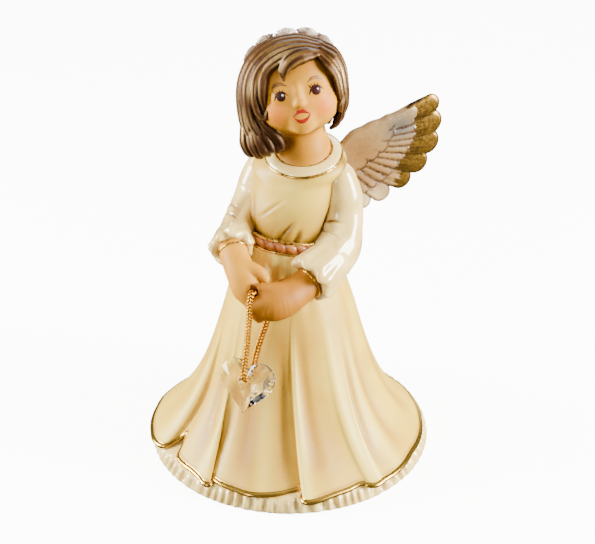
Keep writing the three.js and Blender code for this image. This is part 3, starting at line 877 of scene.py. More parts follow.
def hem_curve(columns):
    """Evenly spaced columns round the hem: angle at the waist, place and height at the hem."""
    nodes = list(HEM)
    for k in range(1, 2 * BACK_LOBES):
        angle = mix(BACK_START, BACK_END, k / (2 * BACK_LOBES))
        nodes.append((angle, angle, BACK_DIP if k % 2 else BACK_RIDGE, 0))
    nodes = [(a + lap, b + lap, r, h) for lap in (-360, 0, 360) for a, b, r, h in nodes]
    angle, at_hem, radius, lift = np.array(nodes, float).T
    curve = spline(np.column_stack([around(at_hem, radius, lift), WAIST_SCALE * angle]), 9000)
    once = (curve[:, 3] >= WAIST_SCALE * -180) & (curve[:, 3] < WAIST_SCALE * 180)
    curve = curve[once]
    length = travelled(curve[:, :3])
    even = np.linspace(0, length[-1], columns, endpoint=False)
    x, y, height, waist = [np.interp(even, length, curve[:, k]) for k in range(4)]
    return waist / WAIST_SCALE, x, y, height


def folds(table, waist, z):
    """How strongly the folds of a table show at a place on the skirt."""
    total = 0 * (waist + z)
    for place, turned, width, strength, top in table:
        off = waist - place - turned * (z - HEM_Z) / FOLD_RISE
        total = total + strength * bell(off, width) * (1 - smoothstep(z, 0.5 * top, top))
    return total


# The lip of the hem, out from the skirt and down, and what closes the shell: radii and heights.
LIP = [(0.3, -0.05), (0.65, -0.25), (0.88, -0.65), (0.86, -1.1), (0.6, -1.45), (0.1, -1.65),
       (-0.5, -1.65), (-0.9, -1.4), (-1.2, -0.9)]
INNER_HEIGHTS = (9.5, 16, 28, 48, 66)
SKIRT_WALL = 6
NECK_OF_SKIRT = ((9.9, 76.4), (9.9, 81.5), (12.3, 81.5), (12.3, 79.2))


def skirt_surface(waist, hem_radius, hem_angle, lift):
    """The outside of the skirt, from the waist down to the hem."""
    swing = apart(hem_angle, waist)
    t = np.concatenate([np.linspace(0, 0.9, 90), np.linspace(0.9, 1, 40)[1:]])[:, None]
    z = mix(WAIST_Z, HEM_Z + 0.9 + lift, t)
    fade = 0.35 * t ** 1.6 + 0.65 * t ** 4
    gather = 0.22 * bell(t - 0.1, 0.14) * (wave(waist, 23) + wave(waist, 14, 40)) * (t > 0)
    pressed = smoothstep(t, 0.15, 0.6) * (1 - 0.9 * smoothstep(t, 0.82, 1))
    radius = skirt_radius(mix(WAIST_Z, HEM_Z, t)) + (hem_radius - HEM_RADIUS) * fade + gather
    radius = radius + pressed * (0.7 * folds(RIDGES, waist, z) - 1.1 * folds(VALLEYS, waist, z))
    return around(waist + swing * (0.25 * t ** 1.5 + 0.75 * t ** 3.5), radius, z)


def skirt_shade(waist, lattice, hem_row):
    """Painted shade: in the valleys, in the dips between the back folds, the hands' painted shadow, and a
    painted shadow line at the lip.
    """
    x, y, z = np.moveaxis(lattice, -1, 0)
    # Painted shade in the valleys of the folds.
    shade = folds(VALLEYS, waist, z) * smoothstep(z, 6, 14)
    lobes = np.cos(np.radians((waist - BACK_START) / (BACK_END - BACK_START) * 360 * BACK_LOBES))
    behind = (waist > BACK_START - 5) | (waist < BACK_END - 355)
    # Painted shade in the dips between the back folds.
    shade += 0.55 * behind * np.clip(-lobes, 0, 1) ** 2 * (1 - smoothstep(z, 25, 62))
    # Painted shadow of the hands, on the front.
    shade += 0.45 * bell(np.hypot((x - 12) / 14, (z - 54) / 13), 1) * (y < 0)
    # Darker down the middle of the front, below the hands.
    shade += 0.5 * bell(waist - 10, 17) * (1 - smoothstep(z, 48, 66))
    # A painted shadow line at the lip.
    under = slice(hem_row - 5, hem_row - 1)
    shade[under] = np.maximum(shade[under], 0.6)
    return np.clip(shade, 0, 1)


def add_skirt(material):
    columns = 960
    waist, hem_x, hem_y, lift = hem_curve(columns)
    hem_angle = np.degrees(np.arctan2(hem_x, -hem_y))
    outer = skirt_surface(waist, np.hypot(hem_x, hem_y), hem_angle, lift)
    tangent = unit(np.roll(outer[-1], -1, 0) - np.roll(outer[-1], 1, 0))
    normal = np.stack([tangent[:, 1], -tangent[:, 0], 0 * tangent[:, 0]], 1)
    rim = [outer[-1] + normal * out + np.array([0, 0, drop]) for out, drop in LIP]
    inner = [around(waist, skirt_radius(h) - SKIRT_WALL, h) for h in INNER_HEIGHTS]
    neck = [around(waist, r, h) for r, h in NECK_OF_SKIRT]
    lattice = np.concatenate([outer, rim, inner, neck])
    lattice = waist_slope(lattice, smoothstep(lattice[..., 2], 52, 79))
    hem_row = len(outer)
    gold = np.zeros(lattice.shape[:2])
    gold[hem_row - 2:hem_row + 8] = 1
    z = lattice[..., 2]
    # Painted highlights on the ridges, and a painted pool of light below the belt in front.
    light = folds(RIDGES, waist, z) + bell(z - 73, 9) * bell(waist + 5, 50)
    points, faces = ring(lattice)
    add_piece("skirt_shell", points, faces, material, replaces="skirt",
              fields={"shade": skirt_shade(waist, lattice, hem_row), "light": np.clip(light, 0, 1),
                      "gold": gold})


CRIMPS = 84
# The petticoat's section: in from the foot's edge, height, and how much of the crimp shows there.
FRILL = [(-3.6, 0, 0), (-0.9, 0, 0), (-0.35, 0.12, 0.2), (-0.1, 0.5, 0.4), (-0.05, 1.0, 0.7),
         (-0.15, 1.6, 1), (-0.35, 2.3, 1), (-0.65, 3.0, 1), (-1.0, 3.7, 0.9), (-1.5, 4.3, 0.7),
         (-2.1, 4.75, 0.4), (-3, 5.1, 0), (-5, 5.7, 0), (-8, 6.3, 0), (-12, 7.2, 0), (-15.5, 8, 0),
         (-20, 9.4, 0), (-20.1, 8, 0), (-3.9, 2.6, 0)]


def add_petticoat(material):
    """A glazed frill: soft upright crimps between two smooth edges."""
    angle = circle(1800)
    wander = 0.8 * wave(angle, 7) + 0.6 * wave(angle, 13, 60)
    crimp = np.cos(np.radians(CRIMPS * angle) + 2.6 * wander)
    crimp = np.sign(crimp) * np.abs(crimp) ** 0.8
    depth = 0.6 + 0.25 * wave(angle, 11, 30) + 0.2 * wave(angle, 29)
    rows = []
    fold_shade = []
    for inset, height, share in FRILL:
        rows.append(around(angle, FOOT_RADIUS + inset + 0.85 * share * depth * (crimp - 1), height))
        # Brown painted shade in the hollows of the crimps.
        fold_shade.append(0.42 * share * np.clip(0.2 - crimp, 0, 1) * (0.6 + 0.4 * wave(angle, 17)))
    points, faces = ring(np.stack(rows))
    add_piece("petticoat_frill", points, faces, material, replaces="petticoat",
              fields={"fold_shade": np.concatenate(fold_shade)})


CHEST_X, CHEST_Y, CHEST_DEPTH = 1.5, 2.0, 0.9
NECK_X, NECK_Y = 3.8, 1.5
NECK_SLOPE = 0.25
TORSO = [(12.4, 80.4), (12.7, 82.9), (13.1, 85), (13.7, 89), (14.2, 94), (14.1, 98.5), (13.7, 101.5),
         (13, 104), (11.8, 106.3), (9.8, 107.8), (6, 108.8)]

# Tucks pressed into the bodice: angle and height at the belt, angle and height at the top, depth.
TUCKS = [
    (8, 82.2, 27, 90.5, 0.6), (30, 81.7, 39, 88, 0.55), (75, 85, 84, 96, 0.5), (-34, 85, -46, 96, 0.4),
    (-17, 90.5, 10, 97.5, 0.22), (110, 85, 104, 97, 0.4), (-100, 85, -92, 97, 0.4),
    (150, 85, 152, 98, 0.4), (-150, 85, -151, 98, 0.4), (180, 85, 178, 96, 0.3),
]


def waist_slope(points, share=1.0):
    """Her waistline rides up in front and dips towards her left."""
    rise = (-0.13 * points[..., 1] - 0.09 * points[..., 0] - 1.7) * share
    return points + rise[..., None] * UP


def follow_spine(points):
    """Her chest leans a little forward and to her left of the waist, and the neck a little more."""
    points = waist_slope(points, 1 - smoothstep(points[..., 2], 84, 96))
    z = points[..., 2] + NECK_SLOPE * points[..., 1] * smoothstep(points[..., 2], 98, 106)
    chest = smoothstep(z, BELT_TOP, 100)
    neck = smoothstep(z, 100, 108)
    y = points[..., 1] * mix(1, CHEST_DEPTH, chest * (1 - neck)) + mix(CHEST_Y * chest, NECK_Y, neck)
    shoulders = 1 + 0.2 * bell(points[..., 2] - 105, 3.2)
    return np.stack([points[..., 0] * shoulders + mix(CHEST_X * chest, NECK_X, neck), y, z], -1)


def gap_to_sleeve(points, side):
    """How far points lie outside a sleeve."""
    path = spline(ARMS[side]["sleeve"], 40)
    radii = spread(ARMS[side]["sleeve_radii"], 40)
    place = nearest_on_path(points, path)
    return distance(points, at_place(path, place)) - at_place(radii, place)


def add_bodice(material):
    profile = spline(TORSO, 90)
    radius, z = profile[:, 0][:, None], profile[:, 1][:, None]
    angle = circle(360, -180)[None, :]
    shade, press = np.zeros((2, len(profile), angle.size))
    for low_angle, low_z, high_angle, high_z, depth in TUCKS:
        t = (z - low_z) / (high_z - low_z)
        off = apart(angle, mix(low_angle, high_angle, t))
        alive = smoothstep(t, -0.3, 0.1) * (1 - smoothstep(t, 0.5, 1.05))
        press += depth * alive * (bell(off, 3.2) - 0.7 * bell(off - 7, 5) - 0.5 * bell(off + 7, 5))
        # Painted shade in the tucks.
        shade += alive * (0.8 * bell(off, 3) + 0.25 * bell(off - 3, 7)) * min(1, depth * 1.9)
    outer = follow_spine(around(angle, radius - press, z))
    # Painted shade towards the belt and round the sides, and where the sleeves press against the bodice.
    shade += 0.8 * (1 - smoothstep(z, 83, 99))
    shade += 0.25 * bell(angle + 60, 40) + 0.3 * bell(angle - 95, 25)
    for side in ARMS:
        gap = gap_to_sleeve(outer.reshape(-1, 3), side).reshape(shade.shape)
        shade += 0.9 * (1 - smoothstep(gap, 0.2, 1.5)) + 0.3 * (1 - smoothstep(gap, 0, 4))
    # A painted highlight high on the chest.
    light = 0.5 * bell(angle - 20, 26) * bell(z - 99, 7)
    points, faces = tube(outer)
    add_piece("bodice_shell", points, faces, material, replaces="bodice",
              fields={"shade": np.append(np.clip(shade, 0, 1), [0.3, 0.3]),
                      "light": np.append(light, [0, 0])})


BELT_STRANDS = 13
BELT_RADIUS = 14.2
BELT_GOLD = (("belt_gold_top", 14.15, BELT_TOP - 0.05), ("belt_gold_bottom", 14.75, BELT_BOTTOM - 0.1))
COLLAR_CENTRE = np.array([NECK_X + 0.5, NECK_Y, 109.5])
COLLAR_TILT = turn("y", 3) @ turn("x", 14)
COLLAR = [(8.8, -2.3), (10.6, -2.9), (12.0, -3.0), (12.35, -2.3), (12.3, -1.6), (11.9, -1.0),
          (11.1, -0.5), (10.1, 0.05), (9.4, 0.3), (8.9, 0.2), (8.7, -0.5)]
COLLAR_GOLD = (("collar_gold_inner", 9.2, -0.1), ("collar_gold_outer", 12.3, -1.9))
COLLAR_GOLD_THICK = 0.5


def add_belt(rope_material, gold_material):
    """A twisted cord of clay, with a gold line painted along each edge."""
    angle = circle(720)[:, None]
    section = circle(36)[None, :]
    side, up = np.cos(np.radians(section)), np.sin(np.radians(section))
    twist = np.radians(BELT_STRANDS * 2 * angle + section)
    bulge = np.abs(np.cos(0.5 * twist)) ** 0.55
    height = (BELT_BOTTOM + BELT_TOP) / 2 + up * (1.3 + 0.5 * bulge)
    rope = around(angle, BELT_RADIUS + side * (0.7 + 0.65 * bulge), height)
    points, faces = ring(waist_slope(rope))
    # The groove field is the painted shade between the strands.
    add_piece("belt_rope", points, faces, rope_material, replaces="belt",
              fields={"groove": np.clip(1 - 1.25 * bulge, 0, 1)})
    wobble = 0.12 * wave(angle, 5) + 0.08 * wave(angle, 13)
    for name, radius, z in BELT_GOLD:
        points, faces = ring(waist_slope(around(angle, radius + 0.6 * side, z + wobble + 0.6 * up)))
        add_piece(name, points, faces, gold_material)


def add_collar(material, gold_material):
    """A flat band lying round the neck, with gold on its inner and outer edges."""
    angle = circle(240)
    rows = [around(angle, r + 0.12 * wave(angle, 6), h) for r, h in COLLAR]
    points, faces = ring(np.stack(rows) @ COLLAR_TILT.T + COLLAR_CENTRE)
    add_piece("collar_band", points, faces, material, replaces="collar",
              fields={"fold_shade": np.zeros(len(points))})
    section = np.radians(circle(12))[None, :]
    out, up = COLLAR_GOLD_THICK * np.cos(section), COLLAR_GOLD_THICK * np.sin(section)
    for name, radius, height in COLLAR_GOLD:
        hoop = around(angle[:, None], radius + out, height + up)
        points, faces = ring(hoop @ COLLAR_TILT.T + COLLAR_CENTRE)
        add_piece(name, points, faces, gold_material)


# ------------------------------------------------------------------ arms

# Each arm: paths with their radii, a cuff's two ends and radii, where and how far the cuff is
# tucked in, and the creases of the sleeve: place along it, angle, strength and slope.
ARMS = {
    "left": {
        "sleeve": [(12.2, 3.6, 106.2), (14.4, 4.2, 103.6), (16.6, 4.8, 97.5), (17, 4.6, 88),
                   (17.8, 0.5, 79.5), (17.1, -7, 75.4)],
        "sleeve_radii": [2.6, 5.2, 6.5, 6.9, 7.4, 7.2],
        "cuff": ((17.5, -6.3, 75.9), (14.3, -15.4, 72.4)),
        "cuff_pull": (200, 0),
        "cuff_radii": (6.9, 8.4),
        "forearm": [(16, -10.5, 73), (13.7, -15.2, 71), (10.9, -20.6, 69.3), (8, -25, 68.2),
                    (4.6, -27.2, 68.2), (1.8, -28.2, 69)],
        "forearm_radii": [4.9, 5.1, 5.2, 5.9, 6.4, 4.6],
        "creases": [(0.58, 345, 0.9, 0.0), (0.745, 344, 0.9, 0.0021)],
    },
    "right": {
        "sleeve": [(-6.4, 4, 107), (-8.6, 4, 104.6), (-12, 4.2, 98), (-14, 2.6, 89.5), (-14.5, -4.5, 83.5),
                   (-12.6, -15.6, 81.5)],
        "sleeve_radii": [3.2, 5.4, 6.4, 6.3, 6.2, 5.9],
        "cuff": ((-12.9, -15.7, 81.5), (-10.2, -21.7, 80.9)),
        "cuff_pull": (225, 2.4),
        "cuff_radii": (5.9, 7.3),
        "forearm": [(-13.6, -14.6, 81.6), (-11, -20.2, 81), (-7.2, -24.4, 78.2), (-4, -26.8, 74.8),
                    (-1.4, -27.4, 70.6), (0.6, -26.6, 67.6)],
        "forearm_radii": [4.5, 4.6, 4.6, 4.8, 5.1, 3.6],
        "creases": [(0.7, 342, 0.9, 0.0017), (0.86, 358, 0.9, 0.002)],
    },
}


def add_sleeve(side, material):
    """A full sleeve, with soft hanging folds and a few creases at the elbow, with brown painted shade in
    them.
    """
    arm = ARMS[side]
    steps = 150
    path = spline(arm["sleeve"], steps)
    radii = spread(arm["sleeve_radii"], steps)[:, None]
    _, across, outward = frames(path, np.array([0.9, 0.2, 0.4]))
    angle = circle(160)[None, :]
    t = np.linspace(0, 1, steps)[:, None]
    ripple = np.sin(np.radians(5 * angle) + 3 * t) + 0.6 * wave(angle, 8, 70)
    reach = 0.28 * smoothstep(t, 0.3, 0.9) * ripple
    reach = reach + radii * np.minimum(1, np.sqrt(smoothstep(t, -0.02, 0.09)) + 0.02)
    fold_shade = np.zeros((steps, angle.size))
    for place, middle, strength, slope in arm["creases"]:
        off = apart(angle, middle)
        line = t - place - slope * off + 0.004 * wave(off, 9)
        crease = strength * bell(line, 0.013) * bell(off, 22)
        reach += 0.5 * strength * bell(line - 0.045, 0.028) * bell(off, 26) - 0.8 * crease
        # Brown painted shade in the creases.
        fold_shade += 1.2 * crease + 0.25 * bell(line, 0.03) * bell(off, 26)
    a = np.radians(angle)
    points, faces = tube(swept(path, across, outward, reach * np.cos(a), reach * np.sin(a)))
    add_piece(f"sleeve_puff_{side}", points, faces, material,
              replaces=f"sleeve_{side}", fields={"fold_shade": np.append(np.clip(fold_shade, 0, 1), [0, 0])})


def cuff_profile(base, mouth, hollow):
    """A cuff's section: place along it, radius, how wavy it is, and how far its edge is lapped."""
    return [(-0.35, base - 0.9, 0, 0), (-0.2, base - 0.1, 0.1, 0), (0.0, base + 0.35, 0.2, 0),
            (0.2, mix(base, mouth, 0.35), 0.45, 0.1), (0.45, mix(base, mouth, 0.6), 0.8, 0.3),
            (0.65, mix(base, mouth, 0.8), 1, 0.5), (0.8, mouth, 1, 0.8), (0.92, mouth + 0.05, 1, 1),
            (1.02, mouth - 0.35, 0.9, 1), (1.08, mouth - 0.95, 0.7, 1), (1.08, mouth - 1.6, 0.5, 0.8),
            (1.02, mix(mouth, hollow, 0.75), 0.3, 0.4), (1.0, hollow, 0, 0), (0.1, hollow, 0, 0)]


def add_cuff(side, material):
    """A turned-back frill round the wrist: a wavy, thick-edged bell, open at its mouth."""
    arm = ARMS[side]
    start, end = [np.array(p) for p in arm["cuff"]]
    along = end - start
    across = unit(np.cross(along, UP))
    outward = unit(np.cross(across, along))
    angle = circle(220)
    a = np.radians(angle)
    middle, pull = arm["cuff_pull"]
    tucked = pull * bell(apart(angle, middle), 55)
    frill = (np.sin(9 * a + 0.4) + 0.7 * np.sin(5 * a + 1.3) + 0.5 * np.sin(14 * a)) / 2.2
    rows = []
    fold_shade = []
    for place, radius, share, lap in cuff_profile(*arm["cuff_radii"], arm["forearm_radii"][1] - 0.4):
        r = (radius + share * (0.6 * frill - 0.3 * tucked))[:, None]
        shift = (0.8 * lap * np.sin(7 * a + 2.0) - place * tucked)[:, None] * unit(along)
        section = np.cos(a)[:, None] * across + np.sin(a)[:, None] * outward
        rows.append(start + along * place + shift + r * section)
        # Brown painted shade in the hollows of the frill.
        fold_shade.append(0.3 * share * np.clip(-frill - 0.35, 0, 1))
    points, faces = ring(np.stack(rows))
    add_piece(f"cuff_frill_{side}", points, faces, material,
              replaces=f"cuff_{side}", fields={"fold_shade": np.concatenate(fold_shade)})


def tunnel_field(p):
    """The hole through the clasped hands, with room for the ribbon as it sways."""
    top, bottom = np.array(TUNNEL_TOP), np.array(TUNNEL_BOTTOM)
    axis = unit(top - bottom)
    place = np.clip((p - bottom) @ axis, -6, np.linalg.norm(top - bottom) + 2.5)
    return distance(p, bottom + place[:, None] * axis) - TUNNEL_RADIUS


# The thumbs and fingers that show: the points they pass through, radii, steps and rounding.
FINGERS = {
    "left": [
        ([(8.5, -25.5, 72.2), (4.6, -28.6, 73.6), (1.9, -30, 73.9)], [2.4, 2.1, 1.5], 8, 1.4),
        ([(5.4, -30.4, 70.4), (2.6, -31.6, 68.6), (1.9, -30.6, 65.2)], [2.0, 2.0, 1.6], 8, 1.8),
        ([(6.4, -29.2, 66.8), (3.6, -30.4, 64.4), (2.6, -28.8, 62.2)], [1.9, 2.0, 1.5], 8, 1.8),
    ],
    "right": [
        ([(-4.4, -25.6, 78.6), (-1.6, -25.8, 78.2), (1.2, -25.8, 77.4), (3.4, -26, 75.8)],
         [2.3, 2.2, 2.1, 1.5], 12, 0.8),
        ([(-3.6, -29, 73), (-0.6, -30, 70), (0.2, -29.4, 67)], [2.0, 2.1, 1.6], 8, 1.8),
    ],
}
# How much painted shade lies on each bare arm; the left one lies in the sleeve's shade.
BARE_ARM_SHADE = {"left": 0.8, "right": 0.1}


def forearm_limb(side):
    return Limb(ARMS[side]["forearm"], ARMS[side]["forearm_radii"], steps=26)


def hand_field(side):
    shapes = [(forearm_limb(side), 0.5)]
    for points, radii, steps, rounding in FINGERS[side]:
        shapes.append((Limb(points, radii, steps=steps), rounding))

    def field(p):
        value = np.full(len(p), FAR)
        for shape, rounding in shapes:
            value = blended(value, shape.field(p), rounding)
        return np.maximum(value, -tunnel_field(p))
    return field


def add_forearm(side, material):
    low, high = mm_box(f"forearm_{side}")
    points, faces = polygonise(hand_field(side), low - 3, high + 3, HAND_CELL)
    # Painted shade: each arm as set above, darker low down, and in the hole between the hands.
    shade = BARE_ARM_SHADE[side] + 0.22 * (1 - smoothstep(points[:, 2], low[2] + 1, low[2] + 8))
    shade = shade + 0.75 * (1 - smoothstep(tunnel_field(points), 0.1, 1.5))
    add_piece(f"forearm_hand_{side}", points, faces, material, replaces=f"forearm_{side}",
              fields={"shade": np.clip(shade, 0, 1), "blush": np.zeros(len(points))})


def add_cuff_gold(side, material):
    """The gold line where the forearm comes out of its cuff."""
    start, end = [np.array(p) for p in ARMS[side]["cuff"]]
    limb = forearm_limb(side)
    place = nearest_on_path((end + 0.5 * unit(end - start))[None], limb.path)
    centre, radius, way = [at_place(values, place)[0] for values in (limb.path, limb.radii, limb.along)]
    way = unit(way)
    across = unit(np.cross(way, UP))
    outward = np.cross(across, way)
    a, b = np.radians(circle(120))[:, None, None], np.radians(circle(10))[None, :, None]
    r = radius + 0.12 + 0.3 * np.cos(b)
    hoop = centre + r * (np.cos(a) * across + np.sin(a) * outward) + 0.4 * np.sin(b) * way
    points, faces = ring(hoop)
    add_piece(f"cuff_gold_{side}", points, faces, material)


# ------------------------------------------------------------------ head

HEAD_CENTRE = np.array([2.5, -1, 132.0])
HEAD_POSE = turn("z", 27) @ turn("x", -18) @ turn("y", -10)
EYE_X, EYE_Z, EYE_RADIUS = 5.45, -1.7, 1.42
EYE_SHIFT = 0.3
FACE_FRONT, FACE_BACK = -22.0, -3.0      # the face's surface is looked for between these
MOUTH_Z, MOUTH_HALF = -8.4, 2.75


def head_to_world(points):
    """From the head's own frame, face towards -Y, to the figurine."""
    return points @ HEAD_POSE.T + HEAD_CENTRE


def world_to_head(points):
    return (np.asarray(points, float) - HEAD_CENTRE) @ HEAD_POSE


NECK = Limb(world_to_head([(4.4, 1.5, 104.5), (4.4, 1.5, 109), (4, 1.2, 113.5), (3, 0.6, 122)]),
            [9.6, 8.6, 7.7, 7.4], centre=(40, 0, 0), steps=12)


def head_field(p):
    """A round child's head on a plain neck: forehead, full cheeks, small chin, nose and mouth."""
    value = ellipsoid_field(p, (0, 0.6, 1.6), (14.4, 14.2, 13.4))
    value = blended(value, ellipsoid_field(p, (0, -1.9, -5.0), (12.9, 12.2, 10.3)), 3)
    for side in (-1, 1):
        value = blended(value, ellipsoid_field(p, (6.2 * side, -7.0, -6.6), (5.2, 5.0, 4.6)), 2.6)
        value = blended(value, ellipsoid_field(p, (EYE_X * side, -12.2, EYE_Z), (2.5, 1.5, 2.0)), 1.6)
        value = blended(value, ellipsoid_field(p, (0.95 * side, -14.2, -4.9), (0.9, 0.9, 0.75)), 0.8)
    value = blended(value, ellipsoid_field(p, (0, -10.6, -12.0), (3.4, 2.6, 2.4)), 2.6)
    value = blended(value, ellipsoid_field(p, (0, -13.4, -1.9), (1.1, 1.4, 3.2)), 1.6)
    value = blended(value, ellipsoid_field(p, (0, -14.7, -4.5), (1.35, 1.25, 1.2)), 0.9)
    value = blended(value, ellipsoid_field(p, (0, -12.0, -8.9), (3.4, 1.7, 2.6)), 1.6)
    return blended(value, NECK.field(p), 2.2)


def on_face(x, z):
    """Points of the face at given places across and up, and the surface directions there."""
    outside, inside = np.full(len(x), FACE_FRONT), np.full(len(x), FACE_BACK)
    for _ in range(24):
        y = (outside + inside) / 2
        within = head_field(np.stack([x, y, z], 1)) < 0
        inside = np.where(within, y, inside)
        outside = np.where(within, outside, y)
    points = np.stack([x, outside, z], 1)
    return points, unit(slope_of(head_field, points, 0.3))


BRUSH_SECTION = [(0, -0.35), (0, 0.25), (0.15, 0.8), (0.5, 1), (0.85, 0.8), (1, 0.25), (1, -0.35)]
DISC_SECTION = [(0.05, 1), (0.4, 0.95), (0.7, 0.75), (0.9, 0.5), (1, 0.2), (1, -1.5)]


def raised_paint(line, height):
    """A row of points at a height over the face, from their places across and up."""
    points, normal = on_face(line[:, 0], line[:, 1])
    return points + normal * height


def add_face_band(name, low, high, material, height):
    """A brush stroke of paint on the face, between a lower and an upper edge."""
    rows = [raised_paint(mix(low, high, share), height * rise) for share, rise in BRUSH_SECTION]
    points, faces = tube(np.stack(rows, 1))
    add_piece(name, head_to_world(points), faces, material)


def add_stroke(name, nodes, widths, material):
    """A stroke along a line, as wide as the brush was pressed."""
    line = spline(nodes, 26)
    width = spread(widths, 26)[:, None] / 2
    way = unit(np.gradient(line, axis=0))
    side = np.stack([-way[:, 1], way[:, 0]], 1)
    add_face_band(name, line - side * width, line + side * width, material, 0.07)


def add_face_disc(name, centre, radii, material, height):
    angle = np.radians(circle(32))
    oval = np.stack([radii[0] * np.cos(angle), radii[1] * np.sin(angle)], 1)
    rows = [raised_paint(centre + share * oval, height * rise) for share, rise in DISC_SECTION]
    points, faces = tube(np.stack(rows))
    add_piece(name, head_to_world(points), faces, material)


HEAD_BOX = (-18.5, -17.5, -34), (18.5, 16.5, 16)
CHEEK, CHEEK_SIZE = (6.9, -10.6, -6.6), 3.1
# Soft shadows on the face: centre, size each way, and strength.
FACE_SHADOWS = [
    ((0, -4.5, -14.5), (9, 5, 3.2), 0.6),        # under the chin
    ((0, -14, -6.0), (2.2, 2, 0.9), 0.4),        # under the nose
    ((0, -11, -12.2), (3.2, 3, 0.9), 0.25),      # under the lower lip
]


def add_head(material):
    points, faces = polygonise(head_field, *HEAD_BOX, HEAD_CELL)
    mirrored = np.abs(points) * [1, 0, 0] + points * [0, 1, 1]
    # Painted shade: a band down the sides of the head, the forehead under the fringe and the neck under the
    # chin.
    shade = 0.35 * bell(points[:, 1] + 4.5, 3.5) * (points[:, 2] < 8)
    shade += 0.5 * bell(points[:, 2] - 6.5, 6) * (points[:, 1] < -6)
    shade += 0.3 * (1 - smoothstep(head_to_world(points)[:, 2], 111, 119))
    for centre, size, strength in FACE_SHADOWS:
        away = (points - np.array(centre)) / np.array(size)
        shade += strength * bell(np.linalg.norm(away, axis=1), 1)
    blush = 0.8 * bell(distance(mirrored, CHEEK), CHEEK_SIZE)
    add_piece("head_and_neck", head_to_world(points), faces, material, replaces="head",
              fields={"blush": blush, "shade": np.clip(1.25 * shade, 0, 1)})


# Painted lines round each eye, from its middle: across and up.
LID = np.array([(-2.25, -0.9), (-1.55, 0.45), (-0.4, 1.35), (0.9, 1.2), (2.3, -0.15)])
LASHES = ((-1.35, -0.75), (-0.75, -0.45), (-0.1, -0.05), (0.55, 0.3))     # root, and lean of the tip
BROWS = {
    "right": np.array([(-2.4, 2.75), (-1.2, 3.6), (0.2, 3.85), (2.3, 2.9)]),
    "left": np.array([(-2.2, 2.8), (-0.6, 3.75), (0.8, 3.8), (2.5, 2.75)]),
}
# Half of each edge of the mouth, from its corner to its middle: across and up.
LIP_EDGES = {
    "top": [(-MOUTH_HALF, 0), (-1.7, 1.25), (-0.75, 2.0), (0, 1.75)],
    "parting_top": [(-MOUTH_HALF, 0), (-1.4, 0.5), (0, 0.72)],
    "parting_low": [(-MOUTH_HALF, 0), (-1.5, -0.85), (0, -1.2)],
    "bottom": [(-MOUTH_HALF, 0), (-1.6, -1.7), (-0.6, -2.35)],
}


def add_eye(name, side, dark, white, brown):
    middle = np.array([EYE_X * side + EYE_SHIFT, EYE_Z])
    add_face_disc(f"iris_{name}", middle, (EYE_RADIUS, EYE_RADIUS * 1.02), dark, 0.09)
    add_face_disc(f"glint_{name}", middle + [0.5, 0.42], (0.24, 0.28), white, 0.16)
    add_stroke(f"eyelid_{name}", middle + LID, [0.2, 0.6, 0.7, 0.55, 0.15], dark)
    for k, (base, lean) in enumerate(LASHES):
        root = middle + [base, 1.15 - 0.25 * abs(base + 0.3)]
        nodes = [root, root + [0.5 * lean, 0.55], root + [lean, 1.15]]
        add_stroke(f"lash_{name}_{k + 1}", nodes, [0.5, 0.34, 0.12], dark)
    add_stroke(f"brow_{name}", middle + BROWS[name], [0.3, 1.0, 1.0, 0.3], brown)


def lip_edge(name):
    half = LIP_EDGES[name]
    other = [(-x, z) for x, z in reversed(half) if x]
    return spline([(x, MOUTH_Z + z) for x, z in half + other], 40)


def add_mouth(red):
    add_face_band("upper_lip", lip_edge("parting_top"), lip_edge("top"), red, 0.22)
    add_face_band("lower_lip", lip_edge("bottom"), lip_edge("parting_low"), red, 0.26)


# ------------------------------------------------------------------ hair

